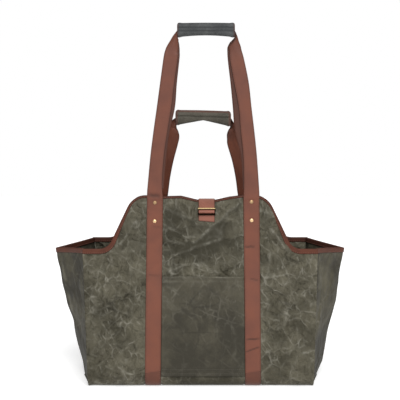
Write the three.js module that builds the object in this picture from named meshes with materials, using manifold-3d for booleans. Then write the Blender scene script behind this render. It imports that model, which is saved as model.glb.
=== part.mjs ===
// Log carrier: an open waxed-canvas tote with folded gussets, leather straps, two wrapped grips,
// leather-bound rims, a front pocket, a slide closure and brass rivets.
// Millimetres, +Z up. The origin is on the floor under the middle of the bag; the front faces -Y.

import * as THREE from 'three';
import { mergeVertices } from 'three/addons/utils/BufferGeometryUtils.js';
import Module from 'manifold-3d';

const wasm = await Module();
wasm.setup();
const { lerp, degToRad, clamp } = THREE.MathUtils;

// Thicknesses, and the gaps between sewn layers and under the binding of the slanted rims
const CANVAS = 2;
const LEATHER = 2;
const BINDING = 1;
const FIT = 0.3;
const RIM_FIT = 0.6;

// Body of the bag
const HALF_DEPTH = 125;
const EDGE_RADIUS = 27;
const FLOOR_HALF = HALF_DEPTH - EDGE_RADIUS;
const BASE_SEAM = 92;
const RIM_HEIGHT = 332;
const FRONT_TOP = 460;
const BACK_TOP = 425;
const FLAT_ABOVE = 312;
const SIDE_SEAM = 282;
const BULGE = 7;

// Shoulder of a panel: crown arc, straight slope and hollow arc down to the rim
const SHOULDER = { start: 125, crown: 50, slope: degToRad(64), hollow: 35 };

// Straps, by the places of their edges at the top of the panels
const STRAPS = { left: { outside: -125, inside: -87 }, right: { outside: 140, inside: 102 } };
const STRAP_HALF = (STRAPS.left.inside - STRAPS.left.outside) / 2;
const STRAP_RAMP = 15;
const BINDING_STEP = 1.4;

// Rows of both tables: place across the panel at its top edge, and what happens there
const LEAN = [
  { x: -SIDE_SEAM, shift: 17 },
  { x: STRAPS.left.outside, shift: -7 },
  { x: STRAPS.left.inside, shift: -7 },
  { x: STRAPS.right.inside, shift: 6 },
  { x: STRAPS.right.outside, shift: 6 },
  { x: SIDE_SEAM, shift: -17 },
];
const TOP_DIP = [
  { x: -144, drop: 0 },
  { x: STRAPS.left.inside, drop: 3 },
  { x: -45, drop: 2 },
  { x: -6, drop: 11 },
  { x: 37, drop: 11 },
  { x: 70, drop: 4 },
  { x: STRAPS.right.inside, drop: 0 },
];

// Broad dents of the slack canvas: centre, reach across and up, and depth
const DENTS = [
  { x: -205, z: 215, across: 45, up: 60, depth: 4 },
  { x: -190, z: 90, across: 50, up: 45, depth: 3 },
  { x: 10, z: 150, across: 80, up: 90, depth: 2 },
  { x: 200, z: 240, across: 40, up: 50, depth: 4 },
  { x: 215, z: 110, across: 45, up: 60, depth: 3 },
];

// Gusset: how far its fold stands out from the seam, from the seam (across 1) to the fold (across 0)
const RIM_INSET = 2.6;
const FOLD = { rimSag: 12, seamInset: 2 };
const FOLD_LINE = [
  { z: 0, left: 290, right: 293 },
  { z: 38, left: 297, right: 307 },
  { z: 88, left: 309, right: 317 },
  { z: 138, left: 319, right: 326.5 },
  { z: 188, left: 333.5, right: 338.5 },
  { z: 238, left: 345, right: 348 },
  { z: 288, left: 354, right: 353 },
  { z: RIM_HEIGHT, left: 359, right: 359 },
];
const FOLD_SHAPE = [
  { across: 1, out: 0 },
  { across: 0.86, out: 0.12 },
  { across: 0.62, out: 0.38 },
  { across: 0.32, out: 0.7 },
  { across: 0.1, out: 0.925 },
  { across: 0.03, out: 0.985 },
  { across: 0, out: 1 },
];

// Edge binding: how far the folded leather reaches down from the edge
const BINDING_DEPTH = { rim: 11, top: 5 };

// Sleeve of a handle: half sizes, flare of its mouths, arch, and how square its section is (power 2 is round)
const GRIP = {
  halfLength: 67,
  halfHeight: 17,
  halfDepth: 10.5,
  flare: 1,
  arch: 1.5,
  sides: 20,
  power: 2.4,
};
// Strap where it turns into the sleeve: rise from the sleeve's middle line, distance out from the handle's
// middle, half width, turn in degrees, half thickness, and how far the handle's middle is set to the left
const HANDLE_TURN = [
  { rise: -67, out: 76.5, half: 19, turn: 0, thick: 1, shift: 3 },
  { rise: -43, out: 75, half: 14, turn: 0, thick: 1, shift: 3 },
  { rise: -27, out: 72.9, half: 7.4, turn: 15, thick: 1, shift: 1.5 },
  { rise: -14.3, out: 71.7, half: 4, turn: 40, thick: 1, shift: 0 },
  { rise: -4, out: 66.8, half: 8, turn: 78, thick: 1, shift: 0 },
  { rise: 0, out: 58, half: 12, turn: 90, thick: 2, shift: 0 },
  { rise: 1, out: 44, half: 14, turn: 90, thick: 2, shift: 0 },
  { rise: 1.4, out: 20, half: 14, turn: 90, thick: 2, shift: 0 },
];
// Handles: length from the top edge to the sleeve, lean to the other handle, middle, and the run of the strap
const HANDLES = {
  front: {
    rise: 387,
    lean: degToRad(1.9),
    middle: { foot: 7.5, grip: 14 },
    run: [
      { rise: 10, out: 113 },
      { rise: 36, out: 111 },
      { rise: 95, out: 106 },
      { rise: 151, out: 100 },
      { rise: 208, out: 92 },
      { rise: 264, out: 85 },
    ],
  },
  back: {
    rise: 233,
    lean: degToRad(22),
    middle: { foot: 7.5, grip: 8 },
    run: [
      { rise: 10, out: 111 },
      { rise: 30, out: 107 },
      { rise: 72, out: 99 },
      { rise: 118, out: 89 },
    ],
  },
};

// Closure at the middle of the front edge: its leather's middle line, by distance out and below the edge
const CLOSURE = { middle: 15.5, width: 38, thick: 1.6, edge: FRONT_TOP - 11 };
const CLOSURE_PATH = [
  { out: -3.1, below: 25 },
  { out: -3.1, below: 10 },
  { out: -4.5, below: 6 },
  { out: -4.5, below: -2.6 },
  { out: 2.5, below: -2.6 },
  { out: 2.5, below: 6 },
  { out: 1.1, below: 10 },
  { out: 1.1, below: 23.8 },
  { out: 6.8, below: 23.8 },
  { out: 6.8, below: 30.4 },
  { out: 1.1, below: 30.4 },
  { out: 1.1, below: 50 },
];
const SLIDE = { width: 44, height: 17.4, below: 27.1, back: 2.2, thick: 3.5, corner: 2.5, arcSteps: 3 };
const SLOT = { width: 39.4, height: 3.6, rise: 3.3, corner: 0.5 };

// Rivets: depths below the top edge, and the sizes of cap, shank and inner cap
const RIVET_ROWS = [
  { name: 'upper', depth: 15 },
  { name: 'lower', depth: 59 },
];
const RIVET = {
  capRadius: 4.6,
  capRim: 0.8,
  capDome: 2.2,
  shank: 1.7,
  innerRadius: 4,
  innerThick: 1.2,
  sides: 10,
};
const RIVET_HOLE = { radius: 2, length: 20, sides: 10 };

const PANELS = {
  front: { side: -1, top: FRONT_TOP, dip: 1 },
  back: { side: 1, top: BACK_TOP, dip: 0 },
};

const FINISH = {
  canvas: { color: 0x5a574a, roughness: 0.8, metalness: 0 },
  pocketCanvas: { color: 0x4f4d42, roughness: 0.75, metalness: 0 },
  gripCanvas: { color: 0x565a59, roughness: 0.85, metalness: 0 },
  strapLeather: { color: 0x855546, roughness: 0.55, metalness: 0 },
  edgeLeather: { color: 0x5d3a32, roughness: 0.6, metalness: 0 },
  brass: { color: 0xb08d4a, roughness: 0.35, metalness: 1 },
};

// Value of a column of a table, straight between the rows on either side of key
function tableValue(table, key, at, column) {
  const next = table.findIndex((row) => row[key] >= at);
  if (next === 0) return table[0][column];
  if (next < 0) return table[table.length - 1][column];
  const low = table[next - 1];
  const high = table[next];
  return lerp(low[column], high[column], (at - low[key]) / (high[key] - low[key]));
}

// Lengths that follow from the shoulder's arcs
function shoulderSpans() {
  const { crown, slope, hollow } = SHOULDER;
  const crownDrop = crown * (1 - Math.cos(slope));
  const hollowDrop = hollow * (1 - Math.cos(slope));
  const lineDrop = FRONT_TOP - RIM_HEIGHT - crownDrop - hollowDrop;
  const crownRun = crown * Math.sin(slope);
  const lineRun = lineDrop / Math.tan(slope);
  return { crownDrop, crownRun, lineRun, total: crownRun + lineRun + hollow * Math.sin(slope) };
}
const SPANS = shoulderSpans();

// How far the edge has dropped below the top at x
function shoulderDrop(x) {
  const run = Math.abs(x) - SHOULDER.start;
  if (run <= 0) return 0;
  if (run <= SPANS.crownRun) return SHOULDER.crown - Math.sqrt(SHOULDER.crown ** 2 - run ** 2);
  if (run <= SPANS.crownRun + SPANS.lineRun) {
    return SPANS.crownDrop + (run - SPANS.crownRun) * Math.tan(SHOULDER.slope);
  }
  const left = Math.max(SPANS.total - run, 0);
  const rise = SHOULDER.hollow - Math.sqrt(SHOULDER.hollow ** 2 - left ** 2);
  return FRONT_TOP - RIM_HEIGHT - rise;
}

// Height of a panel's top edge at x
function topEdge(panel, x) {
  const drop = shoulderDrop(x) + panel.dip * tableValue(TOP_DIP, 'x', x, 'drop');
  const share = (panel.top - RIM_HEIGHT) / (FRONT_TOP - RIM_HEIGHT);
  return RIM_HEIGHT + (FRONT_TOP - RIM_HEIGHT - drop) * share;
}

// Places across a panel where its shoulder turns, for one side
function shoulderColumns() {
  const crownTurns = [22, 44, 64].map((turn) => SHOULDER.start + SHOULDER.crown * Math.sin(degToRad(turn)));
  const slopeStart = SHOULDER.start + SPANS.crownRun;
  const slopePlaces = [0.5, 1].map((share) => slopeStart + SPANS.lineRun * share);
  const hollowEnd = SHOULDER.start + SPANS.total;
  const hollowTurns = [40, 20, 0].map((turn) => hollowEnd - SHOULDER.hollow * Math.sin(degToRad(turn)));
  return [...crownTurns, ...slopePlaces, ...hollowTurns, 260, SIDE_SEAM];
}

// Columns between the straps, shared by the panels, the base and the pocket
const MIDDLE_COLUMNS = [
  STRAPS.left.inside + STRAP_RAMP, -45, -6, 37, 70, STRAPS.right.inside - STRAP_RAMP,
];
const COLUMNS = [
  ...shoulderColumns().reverse().map((x) => -x),
  STRAPS.left.outside,
  STRAPS.left.inside,
  ...MIDDLE_COLUMNS,
  STRAPS.right.inside,
  STRAPS.right.outside,
  ...shoulderColumns().slice(1),
];

// Rows of a panel, from the seam under the base to the top edge
const ARC_ROWS = [0, 22.5, 45, 67.5, 90].map((angle) => ({ angle }));
const POCKET_ROWS = [75, 125, 175, 225, 268].map((z) => ({ z }));
const WALL_ROWS = [...POCKET_ROWS, { z: FLAT_ABOVE }];
const TOP_ROWS = [0.35, 0.7, 1].map((share) => ({ share }));
const PANEL_ROWS = [{ floor: BASE_SEAM + FIT / 2 }, ...ARC_ROWS, ...WALL_ROWS, ...TOP_ROWS];
const BASE_ROWS = [-1, -0.5, 0, 0.5, 1].map((share) => share * (BASE_SEAM - FIT / 2));

// True between the edges of a strap, where the canvas gives way to the leather under the base
function underStrap(x) {
  return Object.values(STRAPS).some(({ outside, inside }) => {
    const ends = [outside, inside].sort((a, b) => a - b);
    return x >= ends[0] && x <= ends[1];
  });
}

// How far the slack canvas stands out of its flat plane
function slack(x, z) {
  const rise = clamp((z - EDGE_RADIUS) / (FLAT_ABOVE - EDGE_RADIUS), 0, 1);
  const held = (1 - (x / SIDE_SEAM) ** 2) * Math.sin(Math.PI * rise) ** 2;
  const dented = DENTS.reduce((sum, dent) => {
    const reach = ((x - dent.x) / dent.across) ** 2 + ((z - dent.z) / dent.up) ** 2;
    return sum + dent.depth * Math.exp(-reach);
  }, 0);
  return (BULGE - dented) * held;
}

// Distance out from the bag's middle and height of a point that lies offset outside the canvas
function profile(row, top, x, offset) {
  if (row.floor !== undefined) return { out: row.floor, z: -offset };
  if (row.angle !== undefined) {
    const angle = degToRad(row.angle);
    const radius = EDGE_RADIUS + offset;
    return { out: FLOOR_HALF + radius * Math.sin(angle), z: EDGE_RADIUS - radius * Math.cos(angle) };
  }
  const z = row.z ?? (row.depth === undefined ? lerp(FLAT_ABOVE, top, row.share) : top - row.depth);
  return { out: HALF_DEPTH + slack(x, z) + offset, z };
}

// How much of the strap's thickness is sunk into the canvas on this row
function sinking(row) {
  if (row.floor !== undefined) return 1;
  return row.angle === undefined ? 0 : 1 - row.angle / 90;
}

// Place across the bag, at height z, of the column that meets the top edge at x
function leaned(x, z) {
  return x + tableValue(LEAN, 'x', x, 'shift') * (1 - z / FRONT_TOP);
}

function panelPoint(panel, x, row, offset) {
  const top = topEdge(panel, x);
  const sunk = underStrap(x) ? (LEATHER + FIT) * sinking(row) : 0;
  const level = profile(row, top, x, 0).z;
  const { out, z } = profile(row, top, x, offset - sunk);
  return new THREE.Vector3(leaned(x, level), panel.side * out, z);
}

// Closed solid between two grids of points; wrapped grids close on themselves across their columns
function gridSolid(columns, rows, outer, inner, wrapped = false) {
  const positions = [];
  for (const layer of [outer, inner]) {
    for (let j = 0; j < rows; j += 1) {
      for (let i = 0; i < columns; i += 1) positions.push(...layer(i, j).toArray());
    }
  }
  const at = (layer, i, j) => layer * columns * rows + j * columns + (i % columns);
  const index = [];
  const quad = (a, b, c, d) => index.push(a, b, c, a, c, d);
  const spans = wrapped ? columns : columns - 1;
  for (let i = 0; i < spans; i += 1) {
    for (let j = 0; j < rows - 1; j += 1) {
      quad(at(0, i, j), at(0, i + 1, j), at(0, i + 1, j + 1), at(0, i, j + 1));
      quad(at(1, i, j), at(1, i, j + 1), at(1, i + 1, j + 1), at(1, i + 1, j));
    }
    const last = rows - 1;
    quad(at(0, i, 0), at(1, i, 0), at(1, i + 1, 0), at(0, i + 1, 0));
    quad(at(0, i, last), at(0, i + 1, last), at(1, i + 1, last), at(1, i, last));
  }
  const sideColumns = wrapped ? [] : [0, columns - 1];
  for (const i of sideColumns) {
    for (let j = 0; j < rows - 1; j += 1) {
      const wall = [at(0, i, j), at(0, i, j + 1), at(1, i, j + 1), at(1, i, j)];
      quad(...(i === 0 ? wall : wall.reverse()));
    }
  }
  return facingOut(positions, index);
}

// Geometry whose triangles face outwards, whichever way its grid was wound
function facingOut(positions, index) {
  const corner = (k) => new THREE.Vector3().fromArray(positions, 3 * k);
  let volume = 0;
  for (let k = 0; k < index.length; k += 3) {
    volume += corner(index[k]).dot(corner(index[k + 1]).cross(corner(index[k + 2])));
  }
  const geometry = new THREE.BufferGeometry();
  geometry.setAttribute('position', new THREE.Float32BufferAttribute(positions, 3));
  geometry.setIndex(volume < 0 ? index.reverse() : index);
  return geometry;
}

function toManifold(geometry) {
  const bare = geometry.clone();
  bare.deleteAttribute('normal');
  bare.deleteAttribute('uv');
  const merged = mergeVertices(bare);
  const vertProperties = new Float32Array(merged.attributes.position.array);
  const triVerts = new Uint32Array(merged.index.array);
  return new wasm.Manifold(new wasm.Mesh({ numProp: 3, vertProperties, triVerts }));
}

// Geometry with round holes through it along Y, at the given points
function drilled(geometry, holes) {
  let solid = toManifold(geometry);
  for (const hole of holes) {
    const { radius, length, sides } = RIVET_HOLE;
    const drill = new THREE.CylinderGeometry(radius, radius, length, sides);
    drill.translate(hole.x, hole.y, hole.z);
    solid = solid.subtract(toManifold(drill));
  }
  const mesh = solid.getMesh();
  const result = new THREE.BufferGeometry();
  result.setAttribute('position', new THREE.Float32BufferAttribute(mesh.vertProperties, mesh.numProp));
  result.setIndex(Array.from(mesh.triVerts));
  return result;
}

// Sideways directions at the points of a flat line, lengthened at its corners so that offsets stay parallel
function mitres(points) {
  const normals = points.slice(1).map((point, k) => {
    const along = point.clone().sub(points[k]).normalize();
    return new THREE.Vector2(along.y, -along.x);
  });
  return points.map((_, k) => {
    const before = normals[Math.max(k - 1, 0)];
    const after = normals[Math.min(k, normals.length - 1)];
    const middle = before.clone().add(after).normalize();
    return middle.divideScalar(middle.dot(after));
  });
}

function panelSheet(panel, columns, rows, inside) {
  return gridSolid(
    columns.length,
    rows.length,
    (i, j) => panelPoint(panel, columns[i], rows[j], inside + CANVAS),
    (i, j) => panelPoint(panel, columns[i], rows[j], inside),
  );
}

// Floor of the bag, pointed a little at its ends to meet the folds of the gussets
function basePanel() {
  const point = (x, y, offset) => {
    const foldOut = FOLD_LINE[0][x < 0 ? 'left' : 'right'] - leaned(SIDE_SEAM, 0);
    const end = Math.abs(x) === SIDE_SEAM ? Math.sign(x) * foldOut : 0;
    const sunk = underStrap(x) ? LEATHER + FIT : 0;
    return new THREE.Vector3(leaned(x, 0) + end * (1 - Math.abs(y) / FLOOR_HALF), y, sunk - offset);
  };
  return gridSolid(
    COLUMNS.length,
    BASE_ROWS.length,
    (i, j) => point(COLUMNS[i], BASE_ROWS[j], 0),
    (i, j) => point(COLUMNS[i], BASE_ROWS[j], -CANVAS),
  );
}

// Rows of a gusset from the base to the rim, kept inside the panels' inner faces
const GUSSET_ROWS = [
  ...ARC_ROWS,
  ...[75, 125, 175, 225, 270, FLAT_ABOVE].map((z) => ({ z, inset: 0 })),
  { z: FLAT_ABOVE + 6, inset: RIM_INSET },
  { z: RIM_HEIGHT, inset: RIM_INSET },
];
const FOLD_COLUMNS = [
  ...FOLD_SHAPE.map(({ across, out }) => ({ across: -across, out })),
  ...FOLD_SHAPE.slice(0, -1).reverse(),
];

// Outer points of one row of a gusset, with the inward directions of its cloth
function gussetRow(side, row) {
  let reach = HALF_DEPTH - CANVAS - FIT - (row.inset ?? 0);
  let level = row.z;
  if (row.angle !== undefined) {
    const radius = EDGE_RADIUS - CANVAS - FIT;
    reach = FLOOR_HALF + radius * Math.sin(degToRad(row.angle));
    level = EDGE_RADIUS - radius * Math.cos(degToRad(row.angle));
  }
  const seam = leaned(SIDE_SEAM, level) - FOLD.seamInset;
  const fold = tableValue(FOLD_LINE, 'z', level, side < 0 ? 'left' : 'right') - FOLD.seamInset;
  const plan = FOLD_COLUMNS.map(({ across, out }) => new THREE.Vector2(lerp(seam, fold, out), across * reach));
  const inward = mitres(plan).map((normal) => new THREE.Vector3(-side * normal.x, -normal.y, 0));
  const sag = FOLD.rimSag * (level / RIM_HEIGHT) ** 4;
  const points = plan.map(({ x, y }, i) => new THREE.Vector3(side * x, y, level - sag * FOLD_COLUMNS[i].out));
  return { points, inward };
}

function gusset(side) {
  const rows = GUSSET_ROWS.map((row) => gussetRow(side, row));
  return gridSolid(
    FOLD_COLUMNS.length,
    rows.length,
    (i, j) => rows[j].points[i].clone(),
    (i, j) => rows[j].points[i].clone().addScaledVector(rows[j].inward[i], CANVAS),
  );
}

// Leather folded over an edge: each station gives the point at a distance out of mid cloth and below the edge
function binding(stations, fit) {
  const section = (thick, foot) => {
    const half = CANVAS / 2 + fit + thick;
    const top = -fit - thick;
    return [[-half, foot], [-half, top], [half, top], [half, foot]];
  };
  const outside = stations.map(({ depth }) => section(BINDING, depth));
  const inside = stations.map(({ depth }) => section(0, depth));
  return gridSolid(
    4,
    stations.length,
    (i, j) => stations[j].at(...outside[j][i]),
    (i, j) => stations[j].at(...inside[j][i]),
  );
}

function panelBinding(panel) {
  const edge = COLUMNS.map((x) => panelPoint(panel, x, { depth: 0 }, -CANVAS / 2));
  const ways = mitres(edge.map((point) => new THREE.Vector2(point.x, point.z)));
  return binding(edge.map((point, k) => {
    const lowered = shoulderDrop(COLUMNS[k]) / (FRONT_TOP - RIM_HEIGHT);
    const down = new THREE.Vector3(ways[k].x, 0, ways[k].y);
    return {
      depth: lerp(BINDING_DEPTH.top, BINDING_DEPTH.rim, lowered),
      at: (out, below) => point.clone().add(new THREE.Vector3(0, out, 0)).addScaledVector(down, below),
    };
  }), FIT);
}

function gussetBinding(side) {
  const [lower, rim] = GUSSET_ROWS.slice(-2).map((row) => gussetRow(side, row));
  const layer = (row, k, out) => row.points[k].clone().addScaledVector(row.inward[k], CANVAS / 2 + out);
  return binding(rim.points.map((point, k) => ({
    depth: BINDING_DEPTH.rim,
    at: (out, below) => {
      const share = below / point.distanceTo(lower.points[k]);
      return layer(rim, k, out).lerp(layer(lower, k, out), share);
    },
  })), RIM_FIT);
}

// Rows of a strap on its panel, from the middle of the floor to the top edge, where it steps over the binding
const STRAP_ROWS = [
  { floor: FIT / 2 },
  { floor: BASE_SEAM / 2 },
  ...ARC_ROWS,
  ...WALL_ROWS,
  { depth: 40, lift: 0 },
  { depth: 10.4, lift: 0 },
  { depth: 5.8, lift: BINDING_STEP },
  { depth: -3, lift: BINDING_STEP },
];

// Cross-sections of a strap: the edge away from the handle's middle first, then the edge towards it
function strapOnPanel(panel, { outside, inside }) {
  return STRAP_ROWS.map((row) => {
    const base = FIT + (row.lift ?? 0);
    const layer = (offset) => [outside, inside].map((x) => panelPoint(panel, x, row, offset));
    return { outer: layer(base + LEATHER), inner: layer(base) };
  });
}

// Gives the point in a handle's leaning plane at a distance across, a rise and a distance out of the plane
function handlePlaces(panel, handle) {
  const foot = new THREE.Vector3(0, panel.side * (HALF_DEPTH + FIT + BINDING_STEP + LEATHER / 2), panel.top);
  const up = new THREE.Vector3(0, -panel.side * Math.sin(handle.lean), Math.cos(handle.lean));
  const face = new THREE.Vector3(0, panel.side * Math.cos(handle.lean), Math.sin(handle.lean));
  const across = new THREE.Vector3(1, 0, 0);
  return (place, rise, depth) => foot.clone()
    .addScaledVector(across, place)
    .addScaledVector(up, rise)
    .addScaledVector(face, depth);
}

function strapInHandle(panel, handle, side) {
  const at = handlePlaces(panel, handle);
  const { foot, grip: gripMiddle } = handle.middle;
  const turn = HANDLE_TURN.map((row) => ({
    ...row,
    rise: handle.rise + row.rise,
    middle: gripMiddle - row.shift,
  }));
  const run = handle.run.map(({ rise, out }) => ({
    rise,
    out,
    half: STRAP_HALF,
    turn: 0,
    thick: LEATHER / 2,
    middle: lerp(foot, turn[0].middle, rise / turn[0].rise),
  }));
  return [...run, ...turn].map(({ rise, out, half, turn: degrees, thick, middle }) => {
    const angle = degToRad(degrees);
    const layer = (depth) => [1, -1].map((edge) => at(
      middle + side * (out + edge * half * Math.cos(angle)),
      rise + edge * half * Math.sin(angle),
      depth,
    ));
    return { outer: layer(thick), inner: layer(-thick) };
  });
}

function strap(panel, handle) {
  const left = [...strapOnPanel(panel, STRAPS.left), ...strapInHandle(panel, handle, -1)];
  const right = [...strapOnPanel(panel, STRAPS.right), ...strapInHandle(panel, handle, 1)];
  const stations = [...left, ...right.reverse()];
  return gridSolid(
    2,
    stations.length,
    (i, j) => stations[j].outer[i],
    (i, j) => stations[j].inner[i],
  );
}

// Canvas sleeve round a handle, a little wider at its mouths and arched along its length
function grip(panel, handle) {
  const at = handlePlaces(panel, handle);
  const places = [-1, -0.88, -0.6, -0.3, 0, 0.3, 0.6, 0.88, 1];
  const rounded = (value) => Math.sign(value) * Math.abs(value) ** (2 / GRIP.power);
  const point = (i, j, wall) => {
    const angle = (2 * Math.PI * i) / GRIP.sides;
    const place = places[j];
    const swell = GRIP.flare * place ** 6 - wall;
    const middleRise = handle.rise + GRIP.arch * (1 - place ** 2);
    const rise = middleRise + (GRIP.halfHeight + swell) * rounded(Math.sin(angle));
    const out = handle.middle.grip + place * GRIP.halfLength;
    return at(out, rise, (GRIP.halfDepth + swell) * rounded(Math.cos(angle)));
  };
  return gridSolid(
    GRIP.sides,
    places.length,
    (i, j) => point(i, j, 0),
    (i, j) => point(i, j, CANVAS),
    true,
  );
}

function pocket() {
  const edges = [STRAPS.left.inside + FIT, STRAPS.right.inside - FIT];
  const columns = [edges[0], ...MIDDLE_COLUMNS, edges[1]];
  const rows = [ARC_ROWS[ARC_ROWS.length - 1], ...POCKET_ROWS];
  return panelSheet(PANELS.front, columns, rows, FIT);
}

// Leather of the closure: a folded ribbon drawn in the plane across the front edge, drawn out along X
function closureStrap() {
  const path = CLOSURE_PATH.map(({ out, below }) => new THREE.Vector2(out, CLOSURE.edge - below));
  const sideways = mitres(path);
  const shifted = (distance) => path.map((point, k) => point.clone().addScaledVector(sideways[k], distance));
  const outline = [...shifted(CLOSURE.thick / 2), ...shifted(-CLOSURE.thick / 2).reverse()];
  const options = { depth: CLOSURE.width, bevelEnabled: false };
  const ribbon = new THREE.ExtrudeGeometry(new THREE.Shape(outline), options);
  const axes = [new THREE.Vector3(0, -1, 0), new THREE.Vector3(0, 0, 1), new THREE.Vector3(-1, 0, 0)];
  const placed = new THREE.Matrix4().makeBasis(...axes);
  placed.setPosition(CLOSURE.middle + CLOSURE.width / 2, -HALF_DEPTH, 0);
  return ribbon.applyMatrix4(placed);
}

function roundedRectangle(path, halfWidth, low, high, corner) {
  path.moveTo(halfWidth - corner, low);
  path.absarc(halfWidth - corner, low + corner, corner, -Math.PI / 2, 0);
  path.absarc(halfWidth - corner, high - corner, corner, 0, Math.PI / 2);
  path.absarc(corner - halfWidth, high - corner, corner, Math.PI / 2, Math.PI);
  path.absarc(corner - halfWidth, low + corner, corner, Math.PI, 1.5 * Math.PI);
  path.closePath();
  return path;
}

// Three-bar slide: a plate with two slots that the closure's leather is threaded through
function closureBuckle() {
  const half = SLIDE.height / 2;
  const plate = roundedRectangle(new THREE.Shape(), SLIDE.width / 2, -half, half, SLIDE.corner);
  for (const side of [-1, 1]) {
    const low = side * SLOT.rise - SLOT.height / 2;
    const slot = roundedRectangle(new THREE.Path(), SLOT.width / 2, low, low + SLOT.height, SLOT.corner);
    plate.holes.push(slot);
  }
  const options = { depth: SLIDE.thick, bevelEnabled: false, curveSegments: SLIDE.arcSteps };
  return new THREE.ExtrudeGeometry(plate, options).rotateX(Math.PI / 2);
}

// Rivet with its axis along Y: inner cap, shank and domed outer cap, from the outer face of the canvas
function rivetGeometry() {
  const seat = FIT + LEATHER + FIT;
  const innerFace = -CANVAS - FIT;
  const outline = [
    { r: 0, y: innerFace - RIVET.innerThick },
    { r: RIVET.innerRadius, y: innerFace - RIVET.innerThick },
    { r: RIVET.innerRadius, y: innerFace },
    { r: RIVET.shank, y: innerFace },
    { r: RIVET.shank, y: seat },
    { r: RIVET.capRadius, y: seat },
    { r: RIVET.capRadius, y: seat + RIVET.capRim },
    { r: RIVET.capRadius * 0.65, y: seat + RIVET.capDome * 0.85 },
    { r: 0, y: seat + RIVET.capDome },
  ];
  return new THREE.LatheGeometry(outline.map(({ r, y }) => new THREE.Vector2(r, y)), RIVET.sides);
}

// Places of the rivets of one panel, on the middle lines of its straps
function rivetPlaces(panel) {
  return Object.entries(STRAPS).flatMap(([strapName, { outside, inside }]) => {
    const middle = (outside + inside) / 2;
    return RIVET_ROWS.map(({ name, depth }) => {
      const z = topEdge(panel, middle) - depth;
      return { name: `${strapName}_rivet_${name}`, x: leaned(middle, z), y: panel.side * HALF_DEPTH, z };
    });
  });
}

const materials = Object.fromEntries(
  Object.entries(FINISH).map(([name, values]) => [name, new THREE.MeshStandardMaterial(values)]),
);

function piece(name, geometry, finish) {
  const smooth = geometry.index ? geometry : mergeVertices(geometry);
  smooth.computeVertexNormals();
  const mesh = new THREE.Mesh(smooth, materials[finish]);
  mesh.name = name;
  return mesh;
}

const carrier = new THREE.Group();
carrier.add(piece('base_panel', basePanel(), 'canvas'));
for (const [name, side] of [['left', -1], ['right', 1]]) {
  carrier.add(piece(`${name}_gusset`, gusset(side), 'canvas'));
  carrier.add(piece(`${name}_binding`, gussetBinding(side), 'edgeLeather'));
}
for (const [name, panel] of Object.entries(PANELS)) {
  const handle = HANDLES[name];
  const places = rivetPlaces(panel);
  const half = new THREE.Group();
  half.add(piece(`${name}_panel`, drilled(panelSheet(panel, COLUMNS, PANEL_ROWS, -CANVAS), places), 'canvas'));
  half.add(piece(`${name}_binding`, panelBinding(panel), 'edgeLeather'));
  half.add(piece(`${name}_strap`, drilled(strap(panel, handle), places), 'strapLeather'));
  half.add(piece(`${name}_grip`, grip(panel, handle), 'gripCanvas'));
  for (const place of places) {
    const rivet = piece(`${name}_${place.name}`, rivetGeometry(), 'brass');
    rivet.position.set(place.x, place.y, place.z);
    rivet.rotation.x = panel.side < 0 ? Math.PI : 0;
    half.add(rivet);
  }
  carrier.add(half);
}
carrier.add(piece('front_pocket', pocket(), 'pocketCanvas'));
carrier.add(piece('closure_strap', closureStrap(), 'strapLeather'));
const buckle = piece('closure_buckle', closureBuckle(), 'brass');
buckle.position.set(CLOSURE.middle, -HALF_DEPTH - SLIDE.back, CLOSURE.edge - SLIDE.below);
carrier.add(buckle);

export default carrier;
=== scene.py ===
"""Log carrier: an open waxed-canvas tote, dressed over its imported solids.

Lengths are in millimetres until a mesh is placed, +Z is up and the front faces -Y.
"""
import logging
import math
from abc import ABC, abstractmethod
from dataclasses import dataclass, field
from enum import Enum
from functools import cached_property, lru_cache
from typing import Callable, NamedTuple, Sequence, Union

import bmesh
import bpy
import numpy as np
from mathutils import Matrix, Vector, noise


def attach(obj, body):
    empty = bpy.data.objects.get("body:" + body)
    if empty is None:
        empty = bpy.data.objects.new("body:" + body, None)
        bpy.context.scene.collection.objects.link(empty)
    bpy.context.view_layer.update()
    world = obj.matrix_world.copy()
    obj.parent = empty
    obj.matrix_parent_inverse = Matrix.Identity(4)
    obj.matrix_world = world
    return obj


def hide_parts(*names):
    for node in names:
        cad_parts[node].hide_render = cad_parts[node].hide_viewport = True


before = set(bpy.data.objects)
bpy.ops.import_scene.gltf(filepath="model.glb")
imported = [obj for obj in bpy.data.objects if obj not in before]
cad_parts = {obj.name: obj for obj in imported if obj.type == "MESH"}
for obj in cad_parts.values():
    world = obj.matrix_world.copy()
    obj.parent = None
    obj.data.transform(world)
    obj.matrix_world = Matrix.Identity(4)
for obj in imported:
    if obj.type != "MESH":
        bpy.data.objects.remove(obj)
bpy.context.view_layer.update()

log = logging.getLogger("log_carrier")

MM = 0.001
BODY = "root"
UP = Vector((0.0, 0.0, 1.0))

# A sheet's point, and its point attributes, at a share across it and a share along it
Place = Callable[[float, float], Vector]
Marks = Callable[[float, float], dict[str, float]]
Direction = Callable[[Vector], Vector]

# A node's output, what a shader input takes, and what is set or linked for each input of a node
Socket = bpy.types.NodeSocket
Value = Union[float, Socket]
Inputs = dict[Union[str, int], object]


class Labelled(Enum):
    """A choice whose name appears in the names of nodes."""

    @property
    def label(self) -> str:
        """The name in small letters."""
        return self.name.lower()


class Side(Labelled):
    """The two long sides of the bag, by the sign of their Y."""

    FRONT = -1
    BACK = 1

    @property
    def outwards(self) -> Vector:
        """Direction out of the side, and a little down as its canvas goes round the lower edge."""
        return Vector((0.0, self.value, -0.2))


class Hand(Labelled):
    """The two ends of the bag, by the sign of their X."""

    LEFT = -1
    RIGHT = 1


class Slot(Enum):
    """The record's material slots."""

    CANVAS = "canvas"
    POCKET = "pocket_canvas"
    GRIP = "grip_canvas"
    STRAP = "strap_leather"
    EDGE = "edge_leather"
    BRASS = "brass"


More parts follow.
